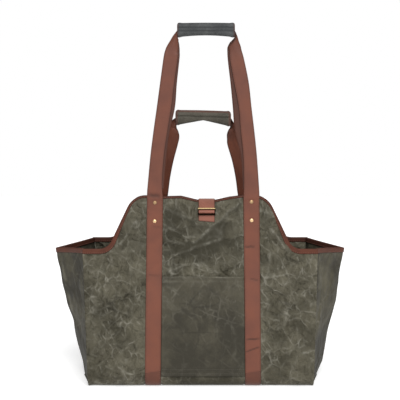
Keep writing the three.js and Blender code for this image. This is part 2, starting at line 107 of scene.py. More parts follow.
class Spot(NamedTuple):
    """A soft patch of a panel: a hollow of the slack canvas, or a dark or pale patch of its colour, the dark
    ones partly painted shade.

    Attributes:
        x: Column of its middle.
        z: Height of its middle.
        across: Its half width.
        up: Its half height.
        depth: Depth of the hollow, or darkness of the patch (pale where it is negative).
    """

    x: float
    z: float
    across: float
    up: float
    depth: float


class Fold(NamedTuple):
    """A ridge along a line on a panel, with painted shade on one side.

    Attributes:
        line: Columns and heights of its points.
        width: Its width.
        height: How far it stands out.
        shade: How dark the painted shade is on the side below it, or on the side above it where the value is
            negative.
    """

    line: tuple[tuple[float, float], ...]
    width: float
    height: float
    shade: float


class Turn(NamedTuple):
    """A strap where it gathers and turns into the sleeve.

    Attributes:
        rise: Length up the handle, from the sleeve's middle.
        out: Distance of the strap's middle from the sleeve's middle.
        half: Half width of the strap.
        turn: How far it is turned, in degrees.
        cup: How far its edges are bent back.
    """

    rise: float
    out: float
    half: float
    turn: float
    cup: float


class Layers(NamedTuple):
    """How the two layers of a front strap lie above the panel.

    Attributes:
        rise: Length up the handle, from the panel's edge.
        inset: How far the front layer stands back from the inner edge.
        beyond: How far the back layer reaches beyond that edge.
    """

    rise: float
    inset: float
    beyond: float


class Crease(NamedTuple):
    """A crease across a front strap.

    Attributes:
        hand: Which half of the strap has it.
        start: Where it starts, as a share of the half width.
        start_z: Height of its start.
        end: Where it ends.
        end_z: Height of its end.
        depth: How deep it is and how dark, the darkness partly a crease mark and partly painted shade.
        width: Its width.
    """

    hand: Hand
    start: float
    start_z: float
    end: float
    end_z: float
    depth: float
    width: float = 1.8


@dataclass(frozen=True)
class BagSizes:
    """Sizes of the bag's body, shared by all its pieces.

    Attributes:
        half_depth: Half the depth of the bag.
        edge_radius: Radius of the rounded lower edge.
        base_seam: Distance of the seams under the base from its middle.
        rim_height: Height of the rims.
        front_top: Height of the front panel.
        back_top: Height of the back panel.
        flat_above: Height above which the panels are flat.
        side_seam: Distance of the side seams from the middle.
        bulge: How far the filled-out canvas stands out.
        cloth: Thickness of the canvas.
        leather: Thickness of the straps.
        fit: Gap between pieces that are sewn together.
        shoulder_start: Where the shoulders begin to fall.
        crown: Radius of the arc at the top of a shoulder.
        hollow: Radius of the arc at its foot.
        slope: Slope between the two arcs.
    """

    half_depth: float = 125.0
    edge_radius: float = 27.0
    base_seam: float = 92.0
    rim_height: float = 332.0
    front_top: float = 460.0
    back_top: float = 425.0
    flat_above: float = 312.0
    side_seam: float = 282.0
    bulge: float = 7.0
    cloth: float = 2.0
    leather: float = 2.0
    fit: float = 0.3
    shoulder_start: float = 125.0
    crown: float = 50.0
    hollow: float = 35.0
    slope: float = math.radians(64.0)

    @property
    def floor_half(self) -> float:
        """Half depth of the flat floor, where the rounded lower edge begins."""
        return self.half_depth - self.edge_radius

    @property
    def arc_end(self) -> float:
        """Length along a panel from its seam under the base to the end of the rounded edge."""
        return self.floor_half - self.base_seam + self.edge_radius * math.pi / 2


BAG = BagSizes()

# Columns of the outer and the inner edge of each strap
STRAP_EDGES = {Hand.LEFT: (-125.0, -87.0), Hand.RIGHT: (140.0, 102.0)}
STRAP_HALF = 19.0

# How far a strap steps out where it goes over the binding
STRAP_STEP = 1.4

# How far the columns of a panel are shifted at the floor
LEAN_X = (-282.0, -125.0, -87.0, 102.0, 140.0, 282.0)
LEAN_SHIFT = (14.0, -7.0, -7.0, 6.0, 6.0, -10.0)

# How far the front edge dips under the closure
DIP_X = (-144.0, -87.0, -45.0, -6.0, 37.0, 70.0, 102.0)
DIP_DROP = (0.0, 3.0, 2.0, 11.0, 11.0, 4.0, 0.0)

# How far the crease of each gusset points outwards, at some heights
FOLD_Z = (0.0, 38.0, 88.0, 138.0, 188.0, 238.0, 288.0, 332.0)
FOLD_OUT = {
    Hand.LEFT: (290.0, 297.0, 309.0, 319.0, 333.5, 345.0, 354.0, 359.0),
    Hand.RIGHT: (293.0, 307.0, 317.0, 326.5, 338.5, 348.0, 353.0, 359.0),
}

# How far the lapped cloth stands out along the side seams
SEAM_RIDGE = 1.2

POCKET_TOP = 268.0
CLOSURE_MIDDLE = 15.5
CLOSURE_EDGE = BAG.front_top - 11.0

# How far above the pocket the canvas is held smooth
POCKET_HOLD = 36.0

# Half width and depth of the canvas that the closure holds smooth, and how softly its hold ends
CLOSURE_HOLD = (24.0, 56.0)
CLOSURE_FADE = (20.0, 22.0)

# Hollows of the slack panels, and the folds and dark and pale patches of the front panel; each fold has
# painted shade on one side, and the dark patches are partly painted shade
DENTS = (
    Spot(-205, 215, 45, 60, 4),
    Spot(-190, 90, 50, 45, 3),
    Spot(10, 150, 80, 90, 2),
    Spot(200, 240, 40, 50, 4),
    Spot(215, 110, 45, 60, 3),
)
FRONT_FOLDS = (
    Fold(((95, 442), (69, 428), (43, 397)), 14.0, 6.0, 0.6),
    Fold(((43, 397), (22, 381), (1, 362), (-15, 350)), 14.0, 5.5, 0.9),
    Fold(((50, 357), (11, 345), (-20, 333)), 13.0, 4.5, 0.7),
    Fold(((-20, 333), (-64, 319)), 11.0, 3.0, -0.5),
    Fold(((-82, 432), (-48, 414), (-11, 402)), 14.0, 4.0, 0.5),
    Fold(((-11, 402), (15, 392)), 11.0, 3.0, 0.2),
    Fold(((-90, 392), (-60, 378)), 10.0, 2.5, 0.3),
    Fold(((3, 301), (22, 284), (36, 275)), 11.0, 3.0, -0.2),
    Fold(((-92, 270), (-31, 296)), 11.0, 3.0, 0.2),
    Fold(((-190, 345), (-150, 400)), 13.0, 2.6, 0.2),
    Fold(((168, 380), (205, 330)), 13.0, 2.6, 0.2),
)
FRONT_PATCHES = (
    Spot(-66, 398, 20, 30, 0.3),
    Spot(34, 366, 28, 16, 0.45),
    Spot(24, 332, 34, 13, 0.35),
    Spot(92, 402, 16, 20, 0.25),
    Spot(-168, 372, 24, 36, -0.5),
    Spot(178, 330, 40, 30, -0.3),
    Spot(-215, 60, 50, 40, -0.3),
    Spot(-222, 225, 30, 24, -0.4),
    Spot(-175, 119, 30, 22, 0.3),
    Spot(205, 55, 50, 34, 0.4),
    Spot(30, 6, 85, 26, 0.7),
    Spot(0, 288, 90, 18, -0.25),
)

# The straps of both handles, from their free run up to the mouths of the sleeves
TURNS = {
    (Side.FRONT, Hand.LEFT): (
        Turn(-65.0, 80.7, 18.8, 2.0, 0.0),
        Turn(-50.0, 78.8, 17.3, 6.0, 1.5),
        Turn(-38.7, 76.6, 14.9, 9.0, 3.0),
        Turn(-27.5, 73.6, 11.0, 16.0, 4.0),
        Turn(-17.5, 70.6, 8.1, 36.0, 4.0),
        Turn(-8.0, 66.0, 8.6, 85.0, 2.0),
    ),
    (Side.FRONT, Hand.RIGHT): (
        Turn(-70.6, 70.6, 19.0, 3.0, 0.0),
        Turn(-47.2, 66.8, 16.9, -2.0, 2.0),
        Turn(-37.0, 66.0, 15.0, 3.0, 3.0),
        Turn(-26.0, 66.8, 10.0, 6.0, 4.0),
        Turn(-18.0, 68.4, 6.4, 30.0, 4.0),
        Turn(-8.5, 67.0, 7.7, 86.0, 2.0),
    ),
    (Side.BACK, Hand.LEFT): (
        Turn(-71.5, 82.7, 18.3, 0.0, 0.0),
        Turn(-48.6, 76.7, 16.8, 4.0, 2.0),
        Turn(-31.0, 77.0, 15.0, 11.0, 4.0),
        Turn(-14.9, 73.5, 11.0, 50.0, 4.0),
        Turn(-5.0, 66.0, 9.0, 85.0, 2.0),
    ),
    (Side.BACK, Hand.RIGHT): (
        Turn(-71.5, 79.2, 17.8, 0.0, 0.0),
        Turn(-56.0, 77.0, 17.0, 2.0, 2.0),
        Turn(-42.0, 74.6, 15.0, 2.0, 2.0),
        Turn(-29.0, 73.6, 11.0, 10.0, 4.0),
        Turn(-15.5, 71.5, 7.6, 56.0, 4.0),
        Turn(-5.0, 66.5, 9.0, 85.0, 2.0),
    ),
}
LAYERS = {
    Hand.LEFT: (
        Layers(0, 0, 0), Layers(24, 5, 0), Layers(95, 6, 0), Layers(154, 5, 0.5), Layers(185, 3.5, 5),
        Layers(212, 4, 4.5), Layers(264, 4.5, 1.5), Layers(320, 4, 0),
    ),
    Hand.RIGHT: (
        Layers(0, 0, 0), Layers(24, 3, 0), Layers(95, 6, 0), Layers(130, 6.4, 3.5), Layers(151, 6, 8),
        Layers(180, 5.7, 9.7), Layers(208, 7.8, 6), Layers(264, 3.5, 5), Layers(320, 5, 0),
    ),
}
CREASES = (
    Crease(Hand.RIGHT, -0.9, 338.0, 0.35, 338.5, 1.0),
    Crease(Hand.RIGHT, -0.85, 116.5, 0.9, 118.5, 0.9),
    Crease(Hand.RIGHT, -0.95, 86.0, 0.85, 99.0, 0.9),
    Crease(Hand.LEFT, -0.8, 270.0, 0.8, 270.5, 0.4),
    Crease(Hand.LEFT, -0.9, 384.0, 0.2, 386.0, 0.4),
    Crease(Hand.RIGHT, -0.3, 263.0, 0.8, 258.0, 0.6),
    Crease(Hand.LEFT, -0.7, 459.0, 0.9, 461.0, 0.7, 5.0),
)

# Columns of a strap's stations: points of its inner and outer edge, then single values
INNER, OUTER = slice(0, 3), slice(3, 6)
CUP, INSET, BEYOND, RISE = 6, 7, 8, 9


def clamp(value: float, low: float = 0.0, high: float = 1.0) -> float:
    """Hold a value between two others."""
    return min(max(value, low), high)


def smooth(value: float) -> float:
    """Ease a share from 0 to 1, held at both ends."""
    share = clamp(value)
    return share * share * (3.0 - 2.0 * share)


def bell(offset: float, width: float) -> float:
    """Soft bump that is 1 at no offset and fades over a width."""
    return math.exp(-((offset / width) ** 2))


def mix(low: float, high: float, share: float) -> float:
    """Value between two others, at a share of the way."""
    return low + (high - low) * share


def shares(count: int) -> list[float]:
    """Even shares from 0 to 1, both included, in a number of steps."""
    return [k / count for k in range(count + 1)]


def between(at: float, keys: Sequence[float], values: Sequence[float]) -> float:
    """Straight-line value of a table at a key, held beyond its ends."""
    return float(np.interp(at, keys, values))


def waved(waves: Sequence[tuple[float, float]], spot: Vector) -> float:
    """Summed height at a point of soft waves, each given by its width and its height."""
    return sum(height * noise.noise(spot / width) for width, height in waves)


def towards(way: Vector) -> Direction:
    """Direction that is the same at every point."""
    return lambda at: way


def rounded_path(rows: Sequence[Sequence[float]], steps: int) -> np.ndarray:
    """Pass a smooth line through the rows of a table.

    Args:
        rows: The table, one row for each point of the line.
        steps: How many points are made between two rows.

    Returns:
        The rows of the smooth line, with the same columns.
    """
    points = np.array([rows[0], *rows, rows[-1]], dtype=float)
    made = []
    for k in range(1, len(points) - 2):
        before, start, end, after = points[k - 1 : k + 3]
        for step in range(steps):
            t = step / steps
            made.append(
                0.5 * (2 * start + (end - before) * t + (2 * before - 5 * start + 4 * end - after) * t**2
                       + (3 * start - before - 3 * end + after) * t**3)
            )
    made.append(points[-2])
    return np.array(made)


def resampled(points: Sequence[Vector], pitch: float) -> list[Vector]:
    """Walk along a line and stop at even distances.

    Args:
        points: The points of the line.
        pitch: The distance between two stops.

    Returns:
        The stops, from half a pitch after the line's start.
    """
    lengths = [0.0]
    for a, b in zip(points, points[1:]):
        lengths.append(lengths[-1] + (b - a).length)
    stops = np.arange(pitch / 2, lengths[-1], pitch)
    axes = [np.interp(stops, lengths, [p[k] for p in points]) for k in range(3)]
    return [Vector(values) for values in zip(*axes)]


@dataclass
class Surface:
    """A sheet of cloth or leather as a grid that a function shapes.

    Attributes:
        columns: Cells across the sheet.
        rows: Cells along the sheet.
        flat: Width and length of the cut sheet.
        place: Gives the point at a share across and a share along.
        marks: Gives the values of the point attributes there.
        outwards: Gives the direction that the faces look in, at a point in metres.
    """

    columns: int
    rows: int
    flat: tuple[float, float]
    place: Place
    marks: Marks
    outwards: Direction

    def mesh(self) -> bmesh.types.BMesh:
        """Make a mesh of the shaped grid.

        Returns:
            The mesh.
        """
        bm = bmesh.new()
        self.add_to(bm)
        return bm

    def add_to(self, bm: bmesh.types.BMesh) -> None:
        """Add the shaped grid to a mesh, with a UV map in metres of flat cloth.

        Args:
            bm: The mesh that takes the grid.
        """
        uv = bm.loops.layers.uv.get("UVMap") or bm.loops.layers.uv.new("UVMap")
        for name in self.marks(0.5, 0.5):
            if bm.verts.layers.float.get(name) is None:
                bm.verts.layers.float.new(name)
        made = bmesh.ops.create_grid(bm, x_segments=self.columns, y_segments=self.rows, size=0.5)["verts"]
        places = {vert: (vert.co.x + 0.5, vert.co.y + 0.5) for vert in made}
        cells = list({face for vert in made for face in vert.link_faces})
        for face in cells:
            for loop in face.loops:
                across, along = places[loop.vert]
                loop[uv].uv = (across * self.flat[0] * MM, along * self.flat[1] * MM)
        for vert, (across, along) in places.items():
            vert.co = self.place(across, along) * MM
            for name, value in self.marks(across, along).items():
                vert[bm.verts.layers.float[name]] = value
        bm.normal_update()
        vote = 0.0
        for cell in cells:
            vote += cell.normal.dot(self.outwards(cell.calc_center_median())) * cell.calc_area()
        if vote < 0:
            bmesh.ops.reverse_faces(bm, faces=cells)


def piece(
    name: str,
    bm: bmesh.types.BMesh,
    material: bpy.types.Material,
    nodes: Sequence[str] = (),
    thick: float = 0.0,
    grow: float = -1.0,
) -> bpy.types.Object:
    """Make a mesh into a piece of the bag.

    Args:
        name: The piece's name.
        bm: Its mesh, which is freed.
        material: Its finish.
        nodes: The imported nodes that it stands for.
        thick: Thickness of a sheet, in millimetres, or 0 for a closed mesh.
        grow: Where the thickness goes: -1 behind the faces, 0 to both sides.

    Returns:
        The piece's object.
    """
    mesh = bpy.data.meshes.new(name)
    for face in bm.faces:
        face.smooth = True
    bm.to_mesh(mesh)
    bm.free()
    made = bpy.data.objects.new(name, mesh)
    bpy.context.scene.collection.objects.link(made)
    mesh.materials.append(material)
    if thick:
        wall = made.modifiers.new("wall", "SOLIDIFY")
        wall.thickness = thick * MM
        wall.offset = grow
        wall.use_even_offset = True
    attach(made, BODY)
    if nodes:
        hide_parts(*nodes)
    log.info("%s: %d faces", name, len(mesh.polygons))
    return made


def linear(colour: str) -> tuple[float, float, float, float]:
    """Turn an sRGB hex colour into linear values.

    Args:
        colour: The colour, such as "#5a574a".

    Returns:
        Red, green, blue and an alpha of 1.
    """
    values = [int(colour[k : k + 2], 16) / 255 for k in (1, 3, 5)]
    red, green, blue = [v / 12.92 if v <= 0.04045 else ((v + 0.055) / 1.055) ** 2.4 for v in values]
    return red, green, blue, 1.0


def per_metre(size: float) -> float:
    """Scale of a pattern whose cells are size millimetres wide, on coordinates in metres."""
    return 1.0 / (size * MM)


@dataclass(frozen=True)
class Nodes:
    """The nodes of a material or of the world, and short ways to add the usual kinds.

    Attributes:
        tree: The node tree.
    """

    tree: bpy.types.NodeTree

    def feed(self, node: bpy.types.Node, inputs: Inputs) -> None:
        """Set or link the inputs of a node.

        Args:
            node: The node.
            inputs: For each socket a value, or the output that is linked to it.
        """
        for key, value in inputs.items():
            if isinstance(value, Socket):
                self.tree.links.new(value, node.inputs[key])
            else:
                node.inputs[key].default_value = value

    def shade(self, inputs: Inputs) -> None:
        """Set or link the inputs of the material's main shader."""
        self.feed(self.tree.nodes["Principled BSDF"], inputs)

    def add(self, kind: str, inputs: Inputs | None = None, **settings: object) -> bpy.types.Node:
        """Add a node.

        Args:
            kind: The node's type.
            inputs: For each socket a value, or the output that is linked to it.
            **settings: The node's own settings.

        Returns:
            The node.
        """
        made = self.tree.nodes.new(kind)
        for key, value in settings.items():
            setattr(made, key, value)
        self.feed(made, inputs or {})
        return made

    def coordinates(self, kind: str = "Object") -> Socket:
        """Coordinates on the piece, in metres."""
        return self.add("ShaderNodeTexCoord").outputs[kind]

    def attribute(self, name: str) -> Socket:
        """Values of a point attribute."""
        return self.add("ShaderNodeAttribute", attribute_name=name).outputs["Fac"]

    def noise(self, at: Socket, size: float, detail: float, rough: float = 0.5) -> Socket:
        """Add a cloudy pattern.

        Args:
            at: The coordinates.
            size: Width of a cloud.
            detail: How many finer patterns are added.
            rough: How strong those are.

        Returns:
            The pattern, about 0.5 in the mean.
        """
        inputs = {"Vector": at, "Scale": per_metre(size), "Detail": detail, "Roughness": rough}
        return self.add("ShaderNodeTexNoise", inputs).outputs[0]

    def ranged(self, value: Socket, low: float, high: float, start: float = 0.0, end: float = 1.0) -> Socket:
        """Map a value from one range to another, held at both ends.

        Args:
            value: The value.
            low: Where the first range starts.
            high: Where it ends.
            start: What the low end becomes.
            end: What the high end becomes.

        Returns:
            The mapped value.
        """
        return self.add("ShaderNodeMapRange", {0: value, 1: low, 2: high, 3: start, 4: end}).outputs[0]

    def combine(self, operation: str, *values: Value, clamped: bool = False) -> Socket:
        """Join two or three values in one step.

        Args:
            operation: How they are joined.
            *values: The values.
            clamped: Whether the result is held between 0 and 1.

        Returns:
            The result.
        """
        inputs = dict(enumerate(values))
        return self.add("ShaderNodeMath", inputs, operation=operation, use_clamp=clamped).outputs[0]

    def gathered(self, operation: str, parts: Sequence[Socket]) -> Socket:
        """Join any number of values, one after the other.

        Args:
            operation: How two of them are joined.
            parts: The values.

        Returns:
            The result.
        """
        joined = parts[0]
        for part in parts[1:]:
            joined = self.combine(operation, joined, part)
        return joined

    def blend(self, share: Socket, low: str | Socket, high: str | Socket) -> Socket:
        """Mix two colours.

        Args:
            share: The share of the second one.
            low: The first colour, in hex or from a node.
            high: The second colour.

        Returns:
            The mixed colour.
        """
        first, second = [linear(colour) if isinstance(colour, str) else colour for colour in (low, high)]
        return self.add("ShaderNodeMix", {0: share, 6: first, 7: second}, data_type="RGBA").outputs[2]

    def bump(self, height: Socket, strength: Value, distance: float, normal: Socket | None = None) -> Socket:
        """Make a height into a relief.

        Args:
            height: The height.
            strength: How strongly it shows.
            distance: What a height of 1 stands for, in metres.
            normal: The relief below it.

        Returns:
            The direction of the surface.
        """
        inputs = {"Height": height, "Strength": strength, "Distance": distance}
        if normal:
            inputs["Normal"] = normal
        return self.add("ShaderNodeBump", inputs).outputs[0]


def new_material(name: str) -> tuple[bpy.types.Material, Nodes]:
    """Start a material.

    Args:
        name: What the material is.

    Returns:
        The material and its nodes.
    """
    made = bpy.data.materials.new(name)
    made.use_nodes = True
    return made, Nodes(made.node_tree)


@dataclass(frozen=True)
class WaxedCanvas:
    """Woven cotton duck soaked in wax: matt, crumpled into stiff facets, pale where the wax has cracked.

    Attributes:
        name: What the material is.
        base: Colour of the cloth.
        shade: Colour of its darker clouds, and of the painted shade and dark patches that darken it.
        crack: Colour of the cracked wax.
        trim: Colour of a stained edge, shown by the point attribute of that name.
        crack_share: How strongly the cracks show.
        slope: How steep the facets are.
        cloud: Width of a cloud.
        facets: Width of each kind of facet, and the direction it is drawn out in, in degrees.
        stretch: How far the facets are drawn out.
        crease: Half width of a crack.
        wisp: Length of an unbroken crack.
        thread: Spacing of the threads. The real 0.7 mm is too fine to show, so it is drawn coarser.
        weave: Height of the threads.
        drift: Width and reach of the bends that keep the creases from being straight.
        rough: Roughness of the waxed cloth.
        gloss: Strength of its reflections.
    """

    name: str
    base: str
    shade: str
    crack: str
    trim: str = "#000000"
    crack_share: float = 0.54
    slope: float = 0.55
    cloud: float = 80.0
    facets: tuple[tuple[float, float], ...] = ((58.0, 40.0), (30.0, 115.0), (17.0, 70.0))
    stretch: float = 1.7
    crease: float = 2.0
    wisp: float = 17.0
    thread: float = 1.6
    weave: float = 0.25
    drift: tuple[float, float] = (34.0, 14.0)
    rough: float = 0.7
    gloss: float = 0.22

    def drifted(self, nodes: Nodes, at: Socket) -> Socket:
        """Bend the coordinates a little, so that no crease is quite straight.

        Args:
            nodes: The material's nodes.
            at: The coordinates.

        Returns:
            The bent coordinates.
        """
        size, reach = self.drift
        kind = "ShaderNodeVectorMath"
        drift = nodes.add("ShaderNodeTexNoise", {"Vector": at, "Scale": per_metre(size), "Detail": 2.0})
        centred = nodes.add(kind, {0: drift.outputs["Color"], 1: (0.5, 0.5, 0.5)}, operation="SUBTRACT")
        scaled = nodes.add(kind, {0: centred.outputs[0], "Scale": reach * MM}, operation="SCALE")
        return nodes.add(kind, {0: at, 1: scaled.outputs[0]}).outputs[0]

    def crumpled(self, nodes: Nodes, at: Socket, size: float, turn: float) -> tuple[Socket, Socket]:
        """Crumple the cloth into facets that rise from creases in some patches and fall from them in others.

        Args:
            nodes: The material's nodes.
            at: The coordinates.
            size: Width of a facet.
            turn: Direction that the facets are drawn out in, in degrees.

        Returns:
            The strength of the cracks, and the height of the facets in metres.
        """
        cell = (size * self.stretch * MM, size * MM, size * MM)
        turned = (0.0, math.radians(turn), 0.0)
        drawn = nodes.add("ShaderNodeMapping", {"Vector": at, "Rotation": turned, "Scale": cell},
                          vector_type="TEXTURE")
        border = nodes.add("ShaderNodeTexVoronoi", {"Vector": drawn.outputs[0], "Scale": 1.0},
                           feature="DISTANCE_TO_EDGE").outputs[0]
        clouds = {"Vector": at, "W": size, "Scale": per_metre(size * 1.6), "Detail": 3.0, "Roughness": 0.6}
        patch = nodes.add("ShaderNodeTexNoise", clouds, noise_dimensions="4D").outputs[0]
        way = nodes.ranged(patch, 0.36, 0.64, 1.0, -1.0)
        height = nodes.combine("MULTIPLY", border, nodes.combine("MULTIPLY", way, size * MM * self.slope))
        near = nodes.ranged(border, 0.0, self.crease / size, 1.0, 0.0)
        return nodes.combine("MULTIPLY", near, nodes.ranged(patch, 0.45, 0.66)), height

    def paleness(self, nodes: Nodes, at: Socket, lines: Socket, unshaded: Socket) -> Socket:
        """Break the cracks into wisps, fewer where the cloth is darkened, mostly by painted shade, and add
        the pale creases and the painted highlights.

        Args:
            nodes: The material's nodes.
            at: The bent coordinates.
            lines: The strength of the cracks.
            unshaded: How little the cloth is darkened there, mostly by painted shade.

        Returns:
            How far the pale colour of cracked wax shows.
        """
        fewer = nodes.combine("MULTIPLY", lines, unshaded)
        rubbed_and_lit = nodes.combine("MULTIPLY_ADD", nodes.attribute("wear"), 0.5, fewer, clamped=True)
        gaps = nodes.noise(at, self.wisp, 3.0, 0.6)
        kept = nodes.ranged(gaps, 0.4, 0.62, 0.2 * self.crack_share, self.crack_share)
        return nodes.combine("MULTIPLY", rubbed_and_lit, kept)

    def depth(self, nodes: Nodes, at: Socket, grime: Socket) -> Socket:
        """Share from the dark shade to the base colour, by clouds and by the darkening, which is mostly
        painted shade.
        """
        cloud = nodes.noise(at, self.cloud, 6.0, 0.65)
        return nodes.combine("SUBTRACT", nodes.ranged(cloud, 0.3, 0.66), grime, clamped=True)

    def woven(self, nodes: Nodes, at: Socket) -> Socket:
        """Weave threads along the sheet's UV map.

        Args:
            nodes: The material's nodes.
            at: The UV coordinates.

        Returns:
            The height of the weave, from 0 to 1.
        """
        inputs = {"Vector": at, "Scale": math.pi / 10 * per_metre(self.thread)}
        kind = "ShaderNodeTexWave"
        threads = [nodes.add(kind, inputs, bands_direction=way).outputs[1] for way in ("X", "Y")]
        return nodes.gathered("MULTIPLY", threads)

    def material(self) -> bpy.types.Material:
        """Build the material's nodes.

        Returns:
            The material.
        """
        made, nodes = new_material(self.name)
        bent = self.drifted(nodes, nodes.coordinates())
        lines, heights = zip(*[self.crumpled(nodes, bent, *facet) for facet in self.facets])
        # Darkening of the canvas: mostly painted shade in hollows, sunk creases, folds and seams, with dark
        # and pale patches; it also thins the cracks and the relief.
        grime = nodes.attribute("grime")
        unshaded = nodes.ranged(grime, 0.0, 0.7, 1.0, 0.2)
        shown = self.paleness(nodes, bent, nodes.gathered("MAXIMUM", lines), unshaded)
        cloth = nodes.blend(self.depth(nodes, bent, grime), self.shade, self.base)
        waxed = nodes.blend(shown, cloth, self.crack)
        weave = nodes.bump(self.woven(nodes, nodes.coordinates("UV")), 0.35, self.weave * MM)
        nodes.shade({
            "Base Color": nodes.blend(nodes.attribute("trim"), waxed, self.trim),
            "Roughness": nodes.ranged(shown, 0.0, 1.0, self.rough, self.rough + 0.2),
            "Normal": nodes.bump(nodes.gathered("ADD", heights), unshaded, 1.0, weave),
            "Specular IOR Level": self.gloss,
        })
        return made


@dataclass(frozen=True)
class SmoothLeather:
    """Finished cowhide strip: satin, faintly mottled, fine pores, darker along its cut and creased edges and
    where painted shade is drawn.

    Attributes:
        name: What the material is.
        base: Colour of the face.
        shade: Colour of its mottling.
        edge: Colour of edges and creases, and of painted shade.
        rough: Roughness of the face.
        gloss: Strength of its reflections.
        mottle: Width of the mottling.
        pore: Spacing of the pores, drawn coarser than the real 0.3 mm so that they show.
        pore_depth: Depth of the pores.
    """

    name: str
    base: str
    shade: str
    edge: str
    rough: float = 0.5
    gloss: float = 0.3
    mottle: float = 42.0
    pore: float = 1.4
    pore_depth: float = 0.15

    def material(self) -> bpy.types.Material:
        """Build the material's nodes.

        Returns:
            The material.
        """
        made, nodes = new_material(self.name)
        at = nodes.coordinates()
        mottle = nodes.noise(at, self.mottle, 5.0)
        face = nodes.blend(nodes.ranged(mottle, 0.35, 0.65), self.shade, self.base)
        pores = nodes.add("ShaderNodeTexVoronoi", {"Vector": at, "Scale": per_metre(self.pore)})
        # The edge attribute darkens cut edges and creases, and also carries painted shade on the straps and
        # the bindings.
        nodes.shade({
            "Base Color": nodes.blend(nodes.attribute("edge"), face, self.edge),
            "Roughness": nodes.ranged(mottle, 0.3, 0.7, self.rough - 0.06, self.rough + 0.08),
            "Normal": nodes.bump(pores.outputs[0], 0.25, self.pore_depth * MM),
            "Specular IOR Level": self.gloss,
        })
        return made


@dataclass(frozen=True)
class AntiqueBrass:
    """Cast brass, tarnished brown in spots and bright where polished by use; on the slide its bright top and
    dark rest are painted highlight and painted shade.

    Attributes:
        name: What the material is.
        bright: Colour of the rubbed brass.
        patina: Colour of the tarnish, shown by the point attribute of that name, which on the slide also
            stands for painted shade.
        rough: Roughness of the rubbed brass.
        spot: Width of a spot of tarnish.
    """

    name: str
    bright: str
    patina: str
    rough: float = 0.42
    spot: float = 3.0

    def material(self) -> bpy.types.Material:
        """Build the material's nodes.

        Returns:
            The material.
        """
        made, nodes = new_material(self.name)
        spotted = nodes.ranged(nodes.noise(nodes.coordinates(), self.spot, 4.0), 0.45, 0.8, 0.0, 0.6)
        covered = nodes.combine("MAXIMUM", spotted, nodes.attribute("patina"))
        nodes.shade({
            "Base Color": nodes.blend(covered, self.bright, self.patina),
            "Roughness": nodes.ranged(covered, 0.0, 1.0, self.rough, self.rough + 0.3),
            "Metallic": 1.0,
        })
        return made


@dataclass(frozen=True)
class WaxedThread:
    """Twisted polyester sewing thread: matt, with a fine twist.

    Attributes:
        name: What the material is.
        base: Colour of the thread.
        shade: Colour between its plies.
        twist: Length of a twist.
        relief: Depth of the twist.
        rough: Roughness of the thread.
    """

    name: str
    base: str
    shade: str
    twist: float = 1.2
    relief: float = 0.2
    rough: float = 0.75

    def material(self) -> bpy.types.Material:
        """Build the material's nodes.

        Returns:
            The material.
        """
        made, nodes = new_material(self.name)
        ply = nodes.noise(nodes.coordinates(), self.twist, 2.0)
        nodes.shade({
            "Base Color": nodes.blend(ply, self.shade, self.base),
            "Roughness": self.rough,
            "Normal": nodes.bump(ply, 0.4, self.relief * MM),
        })
        return made


# Places in the noise that bend the creases along X, Y and Z, and that choose which of them rise
BENDS = (Vector((13.7, 0.0, 0.0)), Vector((0.0, 27.1, 0.0)), Vector((0.0, 0.0, 41.3)))
CHOICE = Vector((7.0, 3.0, 5.0))


@dataclass(frozen=True)
class Crumple:
    """Creases of canvas that has been folded in many directions: facets between sharp lines.

    Attributes:
        size: Width of a facet.
        height: How far a crease stands up or sinks.
        wear: How pale the wax goes on a raised crease.
        line: Width of a crease, as a share of a facet.
    """

    size: float
    height: float
    wear: float
    line: float = 0.09

    def at(self, spot: Vector) -> tuple[float, float]:
        """Read the crumple at a point.

        Args:
            spot: The point, in millimetres.

        Returns:
            The height there, and how near a raised (positive) or sunk (negative) crease is.
        """
        bend = Vector([noise.noise(spot / (self.size * 0.8) + shift) for shift in BENDS]) * self.size * 0.35
        distances, _ = noise.voronoi((spot + bend) / self.size)
        border = distances[1] - distances[0]
        way = clamp(2.2 * noise.noise(spot / (self.size * 1.6) + CHOICE), -1.0, 1.0)
        crest = bell(border, self.line)
        broad = bell(border, self.line * 3.2)
        thin = bell(border, self.line * 0.5)
        return self.height * way * (0.35 * crest + 0.65 * broad), thin * way


CRUMPLES = (Crumple(74.0, 4.2, 0.5), Crumple(31.0, 2.0, 0.25), Crumple(17.0, 0.8, 0.1))


def shoulder_drop(x: float) -> float:
    """Follow a panel's edge down its shoulder, by a crown arc, a slope and a hollow arc.

    Args:
        x: Column of the panel.

    Returns:
        How far the edge has dropped below its top.
    """
    fall = BAG.front_top - BAG.rim_height
    bent = 1.0 - math.cos(BAG.slope)
    crown_run = BAG.crown * math.sin(BAG.slope)
    line_run = (fall - (BAG.crown + BAG.hollow) * bent) / math.tan(BAG.slope)
    run = abs(x) - BAG.shoulder_start
    if run <= 0:
        return 0.0
    if run <= crown_run:
        return BAG.crown - math.sqrt(BAG.crown**2 - run**2)
    if run <= crown_run + line_run:
        return BAG.crown * bent + (run - crown_run) * math.tan(BAG.slope)
    left = max(crown_run + line_run + BAG.hollow * math.sin(BAG.slope) - run, 0.0)
    return fall - (BAG.hollow - math.sqrt(BAG.hollow**2 - left**2))


def leaned(x: float, z: float) -> float:
    """Place across the bag, at height z, of the column that meets the top edge at x."""
    return x + between(x, LEAN_X, LEAN_SHIFT) * (1.0 - z / BAG.front_top)


def strap_clearance(x: float) -> float:
    """Distance across the bag from a column to the nearest strap, 0 under a strap."""
    return min(max(min(edges) - x, x - max(edges), 0.0) for edges in STRAP_EDGES.values())


def strap_recess(x: float) -> float:
    """How deep the canvas under the floor is let in at a column, so that a strap lies flush."""
    return (BAG.leather + BAG.fit) * smooth(1.0 - strap_clearance(x) / 5.0)


